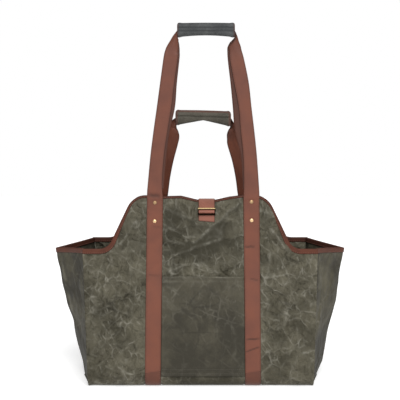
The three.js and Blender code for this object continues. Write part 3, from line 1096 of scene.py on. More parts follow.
def spots_at(spots: Sequence[Spot], x: float, z: float) -> float:
    """Summed depth of the spots at a point of a panel."""
    return sum(s.depth * math.exp(-(((x - s.x) / s.across) ** 2) - ((z - s.z) / s.up) ** 2) for s in spots)


def slack(x: float, z: float) -> float:
    """Fill out the canvas of a panel between its seams.

    Args:
        x: Column of the panel.
        z: Height.

    Returns:
        How far the canvas stands out of its flat plane.
    """
    rise = clamp((z - BAG.edge_radius) / (BAG.flat_above - BAG.edge_radius))
    held = (1.0 - (x / BAG.side_seam) ** 2) * math.sin(math.pi * rise) ** 2
    return (BAG.bulge - spots_at(DENTS, x, z)) * held


@dataclass(frozen=True)
class Panel:
    """A long side of the bag: canvas from a seam under the base, round the lower edge and up to the rim.

    Attributes:
        side: Which long side it is.
        top: Height of its middle.
        dip: Share of the dip under the closure.
        seed: Place in the noise that its creases come from.
        folds: Its own large folds.
        patches: Its own dark and pale patches, the dark ones beside its folds partly painted shade.
        pocketed: Whether a pocket and a closure hold it smooth.
        columns: Cells across it.
        rows: Cells along it.
        hem: Width of the raised edge at the side seams.
        waves: Widths and heights of its broad waves.
        sewn_reach: How far from the straps and the side seams it is held flat.
        edge_reach: How far below the binding it is held flat.
        low_start: Height at which it begins to come free of the lower edge.
        low_reach: Height over which it does.
        hollow_shade: Painted shade for each millimetre that a broad wave sinks.
        crease_shade: Painted shade in a sunk crease.
        fold_wear: Wear of a fold's crest.
    """

    side: Side
    top: float
    dip: float
    seed: float
    folds: tuple[Fold, ...] = ()
    patches: tuple[Spot, ...] = ()
    pocketed: bool = False
    columns: int = 188
    rows: int = 160
    hem: float = 5.0
    waves: tuple[tuple[float, float], ...] = ((105.0, 3.4), (48.0, 1.5))
    sewn_reach: float = 16.0
    edge_reach: float = 26.0
    low_start: float = -4.0
    low_reach: float = 30.0
    hollow_shade: float = 0.09
    crease_shade: float = 0.3
    fold_wear: float = 1.3

    def top_edge(self, x: float) -> float:
        """Find the panel's upper edge.

        Args:
            x: Column of the panel.

        Returns:
            Height of the edge there.
        """
        drop = shoulder_drop(x) + self.dip * between(x, DIP_X, DIP_DROP)
        share = (self.top - BAG.rim_height) / (BAG.front_top - BAG.rim_height)
        return BAG.rim_height + (BAG.front_top - BAG.rim_height - drop) * share

    def length(self, x: float) -> float:
        """Length of the cloth at x, from the seam under the base to the edge."""
        return BAG.arc_end + self.top_edge(x) - BAG.edge_radius

    @lru_cache(maxsize=None)
    def relief(self, x: float, z: float) -> tuple[float, float, float]:
        """Creases and folds at a point of the wall.

        Args:
            x: Column, by its place at the top edge.
            z: Height.

        Returns:
            Height of the relief, paleness of the wax, and the darkening: painted shade in the hollows, in
            sunk creases and on the dark sides of folds, plus the dark and pale patches.
        """
        spot = Vector((x, self.seed, z))
        seam = BAG.side_seam - abs(x)
        low = smooth((z - self.low_start) / self.low_reach)
        free = smooth(strap_clearance(x) / self.sewn_reach) * low
        free *= smooth((self.top_edge(x) - z) / self.edge_reach) * smooth(seam / self.sewn_reach)
        free *= 1.0 - self.held(x, z)
        broad = waved(self.waves, spot)
        # Painted shade: the canvas is darkened in the hollows of its broad waves and in its sunk creases.
        height, wear, grime = broad, 0.0, max(-broad, 0.0) * self.hollow_shade
        for crumple in CRUMPLES:
            rise, crest = crumple.at(spot)
            height += rise
            wear += crumple.wear * max(crest, 0.0)
            grime += self.crease_shade * max(-crest, 0.0)
        # Dark and pale patches, partly painted shade beside the folds, then painted shade on the dark side of
        # each fold.
        grime = grime * free + spots_at(self.patches, x, z)
        for fold in self.folds:
            rise, crest, shade = self.fold_at(fold, x, z)
            height += rise
            wear += self.fold_wear * crest
            grime += shade * smooth(4.0 * free)
        return height * free + SEAM_RIDGE * bell(seam, self.hem), wear * mix(0.3, 1.0, free), grime

    def held(self, x: float, z: float) -> float:
        """How firmly the pocket and the closure hold the canvas smooth.

        Args:
            x: Column, by its place at the top edge.
            z: Height.

        Returns:
            How firmly it is held there, from 0 to 1.
        """
        if not self.pocketed:
            return 0.0
        between_straps = STRAP_EDGES[Hand.LEFT][1] < x < STRAP_EDGES[Hand.RIGHT][1]
        behind = smooth((POCKET_TOP + POCKET_HOLD - z) / POCKET_HOLD) if between_straps else 0.0
        beside = max(abs(x - CLOSURE_MIDDLE) - CLOSURE_HOLD[0], 0.0) / CLOSURE_FADE[0]
        below = max(CLOSURE_EDGE - CLOSURE_HOLD[1] - z, 0.0) / CLOSURE_FADE[1]
        return max(behind, 0.9 * smooth(1.0 - (beside + below)))

    def fold_at(self, fold: Fold, x: float, z: float) -> tuple[float, float, float]:
        """Read one fold at a point of the wall.

        Args:
            fold: The fold.
            x: Column, by its place at the top edge.
            z: Height.

        Returns:
            Height of the fold, paleness of its crest and the painted shade of its dark side.
        """
        offs = []
        for (x0, z0), (x1, z1) in zip(fold.line, fold.line[1:]):
            run = Vector((x1 - x0, z1 - z0))
            way = Vector((x - x0, z - z0))
            offs.append(way - run * clamp(way.dot(run) / run.length_squared))
        off = min(offs, key=lambda v: v.length_squared)
        wobble = 0.25 * fold.width * noise.noise(Vector((x / 22.0, self.seed, z / 22.0)))
        below = math.copysign(off.length, -off.y) + wobble
        shaded = smooth(0.5 + math.copysign(below, fold.shade * below) / 3.0)
        dark = math.exp(-abs(below) / (1.5 * fold.width)) * shaded
        reach = 0.9 * fold.width if below > 0 else 1.6 * fold.width
        return fold.height * bell(below, reach), bell(below, 0.22 * fold.width), abs(fold.shade) * dark

    def point(self, x: float, along: float, lift: float = 0.0, creased: bool = False) -> Vector:
        """Point of the panel's outer face.

        Args:
            x: Column, by its place at the top edge.
            along: Length along the cloth from the seam under the base, negative on the floor.
            lift: Distance out of the face.
            creased: Whether the creases are added.

        Returns:
            The point, in millimetres.
        """
        bend = BAG.floor_half - BAG.base_seam
        sunk = strap_recess(x)
        if along <= bend:
            return Vector((leaned(x, 0.0), self.side.value * (BAG.base_seam + along), sunk - lift))
        if along <= BAG.arc_end:
            angle = (along - bend) / BAG.edge_radius
            radius = BAG.edge_radius + lift - sunk * (1.0 - angle / (math.pi / 2))
            if creased:
                radius += self.relief(x, BAG.edge_radius - BAG.edge_radius * math.cos(angle))[0]
            out = BAG.floor_half + radius * math.sin(angle)
            z = max(BAG.edge_radius - radius * math.cos(angle), -lift)
            return Vector((leaned(x, BAG.edge_radius * (1.0 - math.cos(angle))), self.side.value * out, z))
        z = BAG.edge_radius + along - BAG.arc_end
        out = BAG.half_depth + slack(x, z) + lift
        if creased:
            out += self.relief(x, z)[0]
        return Vector((leaned(x, z), self.side.value * out, z))

    def column(self, across: float) -> float:
        """Column at a share across the panel."""
        return mix(-BAG.side_seam, BAG.side_seam, across)

    def place(self, across: float, along: float) -> Vector:
        """Creased point at a share across and along the panel."""
        x = self.column(across)
        return self.point(x, along * self.length(x), creased=True)

    def marks(self, across: float, along: float) -> dict[str, float]:
        """Read the state of the wax.

        Args:
            across: Share across the panel.
            along: Share along it.

        Returns:
            Paleness of the wax, and the darkening, which is mostly painted shade.
        """
        x = self.column(across)
        z = BAG.edge_radius + along * self.length(x) - BAG.arc_end
        _, wear, grime = self.relief(x, z)
        return {"wear": wear, "grime": grime}

    def build(self, cloth: bpy.types.Material) -> bpy.types.Object:
        """Args:
            cloth: Its canvas.

        Returns:
            The sheet.
        """
        lengths = [self.length(self.column(share)) for share in shares(self.columns)]
        flat = (2 * BAG.side_seam, max(lengths))
        sheet = Surface(self.columns, self.rows, flat, self.place, self.marks, towards(self.side.outwards))
        node = f"{self.side.label}_panel"
        made = piece(f"{node}_canvas", sheet.mesh(), cloth, [node], BAG.cloth)
        return made


@dataclass(frozen=True)
class Gusset:
    """An end wall of the bag: one sheet of canvas with a crease that points outwards.

    Attributes:
        hand: Which end it is.
        seed: Place in the noise that its dents come from.
        grime: How much darker its wax is drawn; the left end's extra darkness is partly painted shade of the
            end that faces away from the light.
        shaded: Heights between which painted shade lies along the seams.
        rubbed_and_lit: Heights between which a painted highlight streak runs beside the crease.
        columns: Cells from the front seam to the back seam.
        rows: Cells from the base to the rim.
        seam_inset: How far the cloth stays inside the panels' side edges.
        rim_inset: How far it draws in under the panels' binding.
        rim_sag: How far the rim sags at the crease.
        curl: Above 1, the cloth turns outwards more strongly near the crease.
        wave: Height of the small waves along the crease.
        dents: Widths and heights of its dents.
        end_reach: How far from the base and the rim it is held flat.
        streak: Distance of the painted highlight streak from the crease, and its width.
        seam_shade: Width of the painted shade at the seams, and of its soft edge.
        outer_shade: Width of the painted shade along the crease.
        low_dark: Height below which the cloth is drawn darker, and how softly that begins.
        fades: Heights over which a stretch of painted shade or painted highlight begins and ends.
    """

    hand: Hand
    seed: float
    grime: float
    shaded: tuple[float, float]
    rubbed_and_lit: tuple[float, float]
    columns: int = 96
    rows: int = 100
    seam_inset: float = 2.0
    rim_inset: float = 2.6
    rim_sag: float = 12.0
    curl: float = 1.18
    wave: float = 3.0
    dents: tuple[tuple[float, float], ...] = ((85.0, 5.0), (40.0, 1.8))
    end_reach: float = 40.0
    streak: tuple[float, float] = (15.0, 7.0)
    seam_shade: tuple[float, float] = (20.0, 13.0)
    outer_shade: float = 30.0
    low_dark: tuple[float, float] = (160.0, 100.0)
    fades: tuple[float, float] = (80.0, 40.0)

    @property
    def arc_radius(self) -> float:
        """Radius of the gusset's lower corners, inside the panels' rounded edge."""
        return BAG.edge_radius - BAG.cloth - BAG.fit

    @property
    def length(self) -> float:
        """Length of the cloth from the base to the rim."""
        return self.arc_radius * math.pi / 2 + BAG.rim_height - BAG.edge_radius

    def spread(self, along: float) -> tuple[float, float, float, float]:
        """Shape of one row of the gusset.

        Args:
            along: Share of the way up the cloth.

        Returns:
            Height, half depth, and places of the seam and of the crease.
        """
        arc = self.arc_radius * math.pi / 2
        up = along * self.length
        if up < arc:
            angle = up / self.arc_radius
            reach = BAG.floor_half + self.arc_radius * math.sin(angle)
            level = BAG.edge_radius - self.arc_radius * math.cos(angle)
        else:
            level = BAG.edge_radius + up - arc
            drawn = self.rim_inset * smooth((level - BAG.flat_above - 5.0) / 5.0)
            reach = BAG.half_depth - BAG.cloth - BAG.fit - drawn
        seam = abs(leaned(self.hand.value * BAG.side_seam, level)) - self.seam_inset
        crease = between(level, FOLD_Z, FOLD_OUT[self.hand]) - self.seam_inset
        return level, reach, seam, crease

    @lru_cache(maxsize=None)
    def relief(self, across: float, along: float) -> tuple[float, float]:
        """Dent the end wall.

        Args:
            across: Share from the front seam to the back seam.
            along: Share of the way up.

        Returns:
            How far the dents stand out, and how pale the wax goes on its crease and on raised creases.
        """
        away = abs(2.0 * across - 1.0)
        level, reach, _, _ = self.spread(along)
        spot = Vector((self.seed, away * reach * (1 if across < 0.5 else -1), level))
        free = math.sqrt(max(math.sin(math.pi * away), 0.0))
        free *= smooth((BAG.rim_height - level) / self.end_reach)
        free *= smooth(level / self.end_reach)
        rise, crest = CRUMPLES[0].at(spot)
        dents = waved(self.dents, spot) + 0.6 * rise
        fold = 0.55 * bell(away * reach, 5.0) * (0.6 + 0.8 * noise.noise(spot / 30.0))
        return dents * free, max(0.5 * max(crest, 0.0), fold)

    def normal(self, across: float) -> Vector:
        """Outward direction of the wall, turned over at the crease."""
        turn = clamp((2.0 * across - 1.0) / 0.05, -1.0, 1.0)
        return Vector((self.hand.value * 0.81, 0.59 * turn, 0.0)).normalized()

    def place(self, across: float, along: float) -> Vector:
        """Shape the wall's outer face.

        Args:
            across: Share from the front seam to the back seam.
            along: Share of the way up.

        Returns:
            The point, in millimetres.
        """
        away = 2.0 * across - 1.0
        level, reach, seam, crease = self.spread(along)
        out = (1.0 - abs(away)) ** self.curl
        sag = self.rim_sag * (level / BAG.rim_height) ** 4 * out
        lapped = SEAM_RIDGE * abs(away) ** 24 * smooth((BAG.flat_above - level) / 10.0)
        y = math.copysign(abs(away) * reach + lapped, away)
        calm = smooth((BAG.rim_height - level) / self.end_reach) * smooth(level / self.end_reach) * out**4
        wave = self.wave * calm * noise.noise(Vector((self.seed, 0.5, level / 46.0)))
        base = Vector((self.hand.value * (mix(seam, crease, out) + wave), y, level - sag))
        return base + self.normal(across) * self.relief(across, along)[0]

    def marks(self, across: float, along: float) -> dict[str, float]:
        """Read the wax: painted shade at the seams, in the dents and along the crease, darker towards the
        bottom, and a painted highlight streak beside the crease.

        Args:
            across: Share from the front seam to the back seam.
            along: Share of the way up.

        Returns:
            Paleness with the painted highlight, and the darkening.
        """
        dent, wear = self.relief(across, along)
        away = abs(2.0 * across - 1.0)
        level, reach, _, _ = self.spread(along)
        broken = smooth(0.5 + 1.6 * noise.noise(Vector((self.seed, across, level / 26.0))))
        lit_share = self.within(level, self.rubbed_and_lit) * broken
        # Painted highlight: a pale streak beside the crease. Painted shade: at the seams, in the dents and
        # along the crease; the bottom is only drawn darker.
        at, width = self.streak
        streak = lit_share * bell(away * reach - at, width) if across < 0.5 else 0.0
        inset, soft = self.seam_shade
        seam = smooth((away * reach - reach + inset) / soft) * self.within(level, self.shaded)
        outer = bell(away * reach, self.outer_shade)
        low = smooth((self.low_dark[0] - level) / self.low_dark[1])
        return {
            "wear": max(wear, streak),
            "grime": self.grime + 0.14 * max(-dent, 0.0) + 1.0 * seam + 0.42 * max(outer, low) - 0.9 * streak,
        }

    def within(self, level: float, heights: tuple[float, float]) -> float:
        """How far a level lies between two heights, from 0 to 1."""
        low, high = heights
        return smooth((level - low) / self.fades[0]) * smooth((high - level) / self.fades[1])

    def build(self, cloth: bpy.types.Material) -> bpy.types.Object:
        """Args:
            cloth: Its canvas.

        Returns:
            The sheet.
        """
        widths = []
        for share in shares(self.rows):
            _, reach, seam, crease = self.spread(share)
            widths.append(2.0 * math.hypot(reach, crease - seam))
        flat = (max(widths), self.length)
        out = Vector((self.hand.value, 0.0, 0.0))
        sheet = Surface(self.columns, self.rows, flat, self.place, self.marks, towards(out))
        node = f"{self.hand.label}_gusset"
        made = piece(f"{node}_canvas", sheet.mesh(), cloth, [node], BAG.cloth)
        area = float(np.mean(widths)) * self.length * MM * MM
        self.length * MM
        return made


@dataclass(frozen=True)
class BasePanel:
    """The floor of the bag, pointed at its ends, with the straps let into it.

    Attributes:
        columns: Cells across it.
        rows: Cells from front to back.
        seed: Place in the noise that its ripples come from.
        point_start: Where its pointed ends begin, from the middle.
        ripple: Height of its ripples.
        grime: How dark its wax is.
    """

    columns: int = 140
    rows: int = 44
    seed: float = 31.0
    point_start: float = 240.0
    ripple: float = 0.35
    grime: float = 0.2

    def place(self, across: float, along: float) -> Vector:
        """Shape the underside.

        Args:
            across: Share across the bag.
            along: Share from front to back.

        Returns:
            The point, in millimetres.
        """
        x = mix(-BAG.side_seam, BAG.side_seam, across)
        y = mix(-BAG.base_seam, BAG.base_seam, along)
        hand = Hand.LEFT if x < 0 else Hand.RIGHT
        tip = FOLD_OUT[hand][0] - abs(leaned(hand.value * BAG.side_seam, 0.0))
        pointed = smooth((abs(x) - self.point_start) / (BAG.side_seam - self.point_start))
        end = tip * pointed * (1.0 - abs(y) / BAG.floor_half)
        wavy = self.ripple * (1.0 + noise.noise(Vector((x, y, self.seed)) / 60.0))
        ripple = wavy * smooth(strap_clearance(x) / 20.0)
        return Vector((leaned(x, 0.0) + math.copysign(end, x), y, strap_recess(x) + ripple))

    def marks(self, across: float, along: float) -> dict[str, float]:
        """Read the state of the wax.

        Args:
            across: Share across the bag.
            along: Share from front to back.

        Returns:
            Paleness of the wax, and how much darker it is drawn.
        """
        spot = Vector((mix(-BAG.side_seam, BAG.side_seam, across), self.seed, 2 * BAG.base_seam * along))
        _, crest = CRUMPLES[1].at(spot)
        return {"wear": 0.5 * max(crest, 0.0), "grime": self.grime}

    def build(self, cloth: bpy.types.Material) -> bpy.types.Object:
        """Args:
            cloth: Its canvas.

        Returns:
            The sheet.
        """
        flat = (leaned(BAG.side_seam, 0.0) - leaned(-BAG.side_seam, 0.0), 2 * BAG.base_seam)
        sheet = Surface(self.columns, self.rows, flat, self.place, self.marks, towards(-UP))
        made = piece("base_panel_canvas", sheet.mesh(), cloth, ["base_panel"], BAG.cloth)
        return made


@dataclass
class Stitching:
    """Rows of stitches of one thread, gathered in one mesh.

    Attributes:
        pitch: Distance from one stitch to the next.
        size: Length, width and height of a stitch.
        rows: The rows that have been sewn.
    """

    pitch: float = 5.0
    size: tuple[float, float, float] = (3.6, 0.9, 0.7)
    rows: list[bpy.types.Mesh] = field(default_factory=list)

    def sew(self, line: Sequence[Vector], way: Vector) -> None:
        """Add a row of stitches along a line.

        Args:
            line: The line, in millimetres.
            way: The direction that the stitches face.
        """
        stops = resampled(line, self.pitch)
        bm = bmesh.new()
        for k, stop in enumerate(stops):
            before, after = stops[max(k - 1, 0)], stops[min(k + 1, len(stops) - 1)]
            along = (after - before).normalized()
            aside = way.cross(along).normalized()
            axes = [a * s * 0.5 * MM for a, s in zip((along, aside, aside.cross(along) * -1.0), self.size)]
            basis = Matrix((axes[0], axes[1], axes[2])).transposed().to_4x4()
            basis.translation = stop * MM
            bmesh.ops.create_uvsphere(bm, u_segments=6, v_segments=4, radius=1.0, matrix=basis)
        bmesh.ops.recalc_face_normals(bm, faces=bm.faces[:])
        self.rows.append(bpy.data.meshes.new("stitch_row"))
        bm.to_mesh(self.rows[-1])
        bm.free()

    def build(self, name: str, thread: bpy.types.Material, slot: Slot) -> bpy.types.Object:
        """Make the gathered stitches a piece.

        Args:
            name: The piece's name.
            thread: Its material.
            slot: The slot of what is sewn; not used.

        Returns:
            The piece.
        """
        bm = bmesh.new()
        for row in self.rows:
            bm.from_mesh(row)
            bpy.data.meshes.remove(row)
        return piece(name, bm, thread)


@dataclass(frozen=True, kw_only=True)
class Binding(ABC):
    """A strip of leather folded over an edge of the canvas.

    Attributes:
        thick: Thickness of the leather.
        fit: Room between the leather and the cloth.
        rim_depth: How far it reaches down from the rims.
        stations: Cells along it.
        rows: Cells round the fold.
        bend: Share of the strip that goes round the edge.
        stitch_rise: Distance of the stitches from the strip's own edge.
        stitch_lift: Distance of the stitches' middle from its face.
        inner_shade: How dark its inner face is painted, as shade inside the bag.
    """

    thick: float = 1.0
    fit: float = 0.3
    rim_depth: float = 11.0
    stations: int = 210
    rows: int = 16
    bend: float = 0.18
    stitch_rise: float = 2.4
    stitch_lift: float = 0.15
    inner_shade: float = 0.55

    @property
    @abstractmethod
    def node(self) -> str:
        """The strip's node."""

    @property
    @abstractmethod
    def length(self) -> float:
        """Length of the strip."""

    @abstractmethod
    def spot(self, across: float, out: float, below: float) -> Vector:
        """Point beside the bound edge.

        Args:
            across: Share of the way along the edge.
            out: Distance out of mid cloth.
            below: Distance below the edge.

        Returns:
            The point, in millimetres.
        """

    @abstractmethod
    def sew(self, seams: Stitching) -> None:
        """Sew both faces of the strip.

        Args:
            seams: Takes the stitches.
        """

    @property
    def faces(self) -> tuple[float, float]:
        """Distances of the outer and the inner stitches out of mid cloth."""
        half = BAG.cloth / 2 + self.fit + self.thick + self.stitch_lift
        return half, -half

    def depth(self, across: float) -> float:
        """How far the strip reaches down, at a share along it."""
        return self.rim_depth

    def around(self, share: float, depth: float) -> tuple[float, float]:
        """Section of the folded strip, from its inner edge over the top to its outer edge.

        Args:
            share: Share of the way round.
            depth: How far the strip reaches down.

        Returns:
            Distance out of mid cloth, and below the cloth's edge.
        """
        half = BAG.cloth / 2 + self.fit + self.thick
        start = (1.0 - self.bend) / 2
        crown = half - self.fit - self.thick
        if share < start:
            return -half, mix(depth, crown, share / start)
        if share > 1.0 - start:
            return half, mix(crown, depth, (share - 1.0 + start) / start)
        angle = math.pi * (share - start) / self.bend
        return -half * math.cos(angle), crown - half * math.sin(angle)

    def dark(self, across: float, along: float) -> float:
        """Darkening of the strip's cut edges, and painted shade on its inner face.

        Args:
            across: Share of the way along the strip.
            along: Share of the way round, from the inner edge.

        Returns:
            How dark it is.
        """
        near = min(along, 1.0 - along)
        streak = 0.3 * max(noise.noise(Vector((across * 60.0, along * 5.0, self.fit))), 0.0)
        # Darker cut edges and streaks, and painted shade on the inner face.
        return 0.7 * smooth(1.0 - near / 0.07) + streak + self.inner_shade * smooth((0.52 - along) / 0.1)

    def place(self, across: float, along: float) -> Vector:
        """Point of the strip at a share along it and a share round it."""
        return self.spot(across, *self.around(along, self.depth(across)))

    def marks(self, across: float, along: float) -> dict[str, float]:
        """Darkness at a share along it and a share round it."""
        return {"edge": min(1.0, self.dark(across, along))}

    def build(self, hide: bpy.types.Material, seams: Stitching) -> bpy.types.Object:
        """Make the strip and sew it.

        Args:
            hide: Its leather.
            seams: Takes its stitches.

        Returns:
            The strip.
        """
        self.sew(seams)
        flat = (self.length, 2 * self.rim_depth)
        sheet = Surface(self.stations, self.rows, flat, self.place, self.marks, towards(UP))
        return piece(f"{self.node}_leather", sheet.mesh(), hide, [self.node], self.thick)


@dataclass(frozen=True, kw_only=True)
class PanelBinding(Binding):
    """The binding of a panel's top edge and shoulders, narrower and darker towards the top.

    Attributes:
        panel: The panel.
        top_depth: How far it reaches down from the top edge.
        taper: Above 1, it stays narrow further down the shoulders.
        top_dark: How much darker it is along the top edge, fading down the shoulders to the rims.
        detour: Length of the edge for each length across the bag.
        samples: Points of a line of stitches.
    """

    panel: Panel
    top_depth: float = 4.6
    taper: float = 1.4
    top_dark: float = 0.4
    detour: float = 1.2
    samples: int = 300

    @property
    def node(self) -> str:
        """The strip's node."""
        return f"{self.panel.side.label}_binding"

    @property
    def length(self) -> float:
        """Length of the strip."""
        return 2 * BAG.side_seam * self.detour

    def edge(self, x: float) -> Vector:
        """Point in mid cloth at the edge of a column."""
        return self.panel.point(x, self.panel.length(x), -BAG.cloth / 2)

    def fallen(self, across: float) -> float:
        """Share of the way down from the top edge to the rims."""
        return clamp(shoulder_drop(self.panel.column(across)) / (BAG.front_top - BAG.rim_height))

    def depth(self, across: float) -> float:
        """How far the strip reaches down, at a share along it."""
        return mix(self.top_depth, self.rim_depth, self.fallen(across) ** self.taper)

    def dark(self, across: float, along: float) -> float:
        """Darkness at a share along it and a share round it."""
        return super().dark(across, along) + self.top_dark * (1.0 - self.fallen(across))

    def spot(self, across: float, out: float, below: float) -> Vector:
        """Point beside the panel's edge.

        Args:
            across: Share of the way along the edge.
            out: Distance out of mid cloth.
            below: Distance below the edge.

        Returns:
            The point, in millimetres.
        """
        x = self.panel.column(across)
        run = (self.edge(x + 0.5) - self.edge(x - 0.5)).normalized()
        down = Vector((run.z, 0.0, -run.x)).normalized()
        return self.edge(x) + Vector((0.0, self.panel.side.value * out, 0.0)) + down * below

    def sew(self, seams: Stitching) -> None:
        """Sew both faces of the strip.

        Args:
            seams: Takes the stitches.
        """
        for face in self.faces:
            line = [self.spot(at, face, self.depth(at) - self.stitch_rise) for at in shares(self.samples)]
            seams.sew(line, Vector((0.0, self.panel.side.value * face, 0.0)).normalized())


@dataclass(frozen=True, kw_only=True)
class GussetBinding(Binding):
    """The binding of a gusset's rim.

    Attributes:
        gusset: The gusset.
        length: Length of the strip.
        spans: Shares along the rim that a row of stitches joins, on either side of the crease.
        samples: Points of a line of stitches.
    """

    gusset: Gusset
    fit: float = 0.6
    stations: int = 120
    length: float = 310.0
    spans: tuple[tuple[float, float], ...] = ((0.02, 0.49), (0.51, 0.98))
    samples: int = 60

    @property
    def node(self) -> str:
        """The strip's node."""
        return f"{self.gusset.hand.label}_binding"

    def spot(self, across: float, out: float, below: float) -> Vector:
        """Point beside the gusset's rim.

        Args:
            across: Share of the way along the rim.
            out: Distance out of mid cloth.
            below: Distance below the rim.

        Returns:
            The point, in millimetres.
        """
        rim = self.gusset.place(across, 1.0)
        lower = self.gusset.place(across, 1.0 - self.rim_depth / self.gusset.length)
        down = (lower - rim).normalized()
        return rim + self.gusset.normal(across) * (out - BAG.cloth / 2) + down * below

    def sew(self, seams: Stitching) -> None:
        """Sew both faces of the strip, on either side of the crease.

        Args:
            seams: Takes the stitches.
        """
        for face in self.faces:
            for start, end in self.spans:
                stops = [mix(start, end, share) for share in shares(self.samples)]
                line = [self.spot(at, face, self.rim_depth - self.stitch_rise) for at in stops]
                middle = stops[self.samples // 2]
                seams.sew(line, self.gusset.normal(middle) * math.copysign(1.0, face))


@dataclass(frozen=True)
class Handle:
    """Where a handle rises from its panel, and how its straps run up to the sleeve.

    Attributes:
        rise: Length from the top edge to the sleeve's middle.
        lean: Lean towards the other handle.
        foot: Middle of the handle at the top edge.
        grip: Middle of the sleeve.
        sway: How far the straps' middle is left of the sleeve's, just below it.
        run: Rise, and distance out from the middle, of the straps.
        tuck: Rise and half width of the strap inside the sleeve.
    """

    rise: float
    lean: float
    foot: float
    grip: float
    sway: float
    run: tuple[tuple[float, float], ...]
    tuck: tuple[float, float]

    def at(self, panel: Panel, across: float, rise: float, depth: float) -> Vector:
        """Point of the handle's leaning plane.

        Args:
            panel: The panel that carries the handle.
            across: Place across the bag.
            rise: Length up the handle from the top edge.
            depth: Distance out of the plane.

        Returns:
            The point, in millimetres.
        """
        side = panel.side.value
        step = BAG.half_depth + BAG.fit + STRAP_STEP + BAG.leather / 2
        foot = Vector((across, side * step, panel.top))
        up = Vector((0.0, -side * math.sin(self.lean), math.cos(self.lean)))
        face = Vector((0.0, side * math.cos(self.lean), math.sin(self.lean)))
        return foot + up * rise + face * depth


HANDLES = {
    Side.FRONT: Handle(
        rise=387.0, lean=math.radians(1.9), foot=7.5, grip=14.0, sway=3.0,
        run=((10, 113), (36, 111), (95, 106), (151, 99.5), (208, 92), (264, 85)), tuck=(1.0, 13.0),
    ),
    Side.BACK: Handle(
        rise=233.0, lean=math.radians(22.0), foot=7.5, grip=8.0, sway=1.0,
        run=((10, 111), (30, 108), (72, 102.5), (118, 93.5)), tuck=(8.0, 7.0),
    ),
}


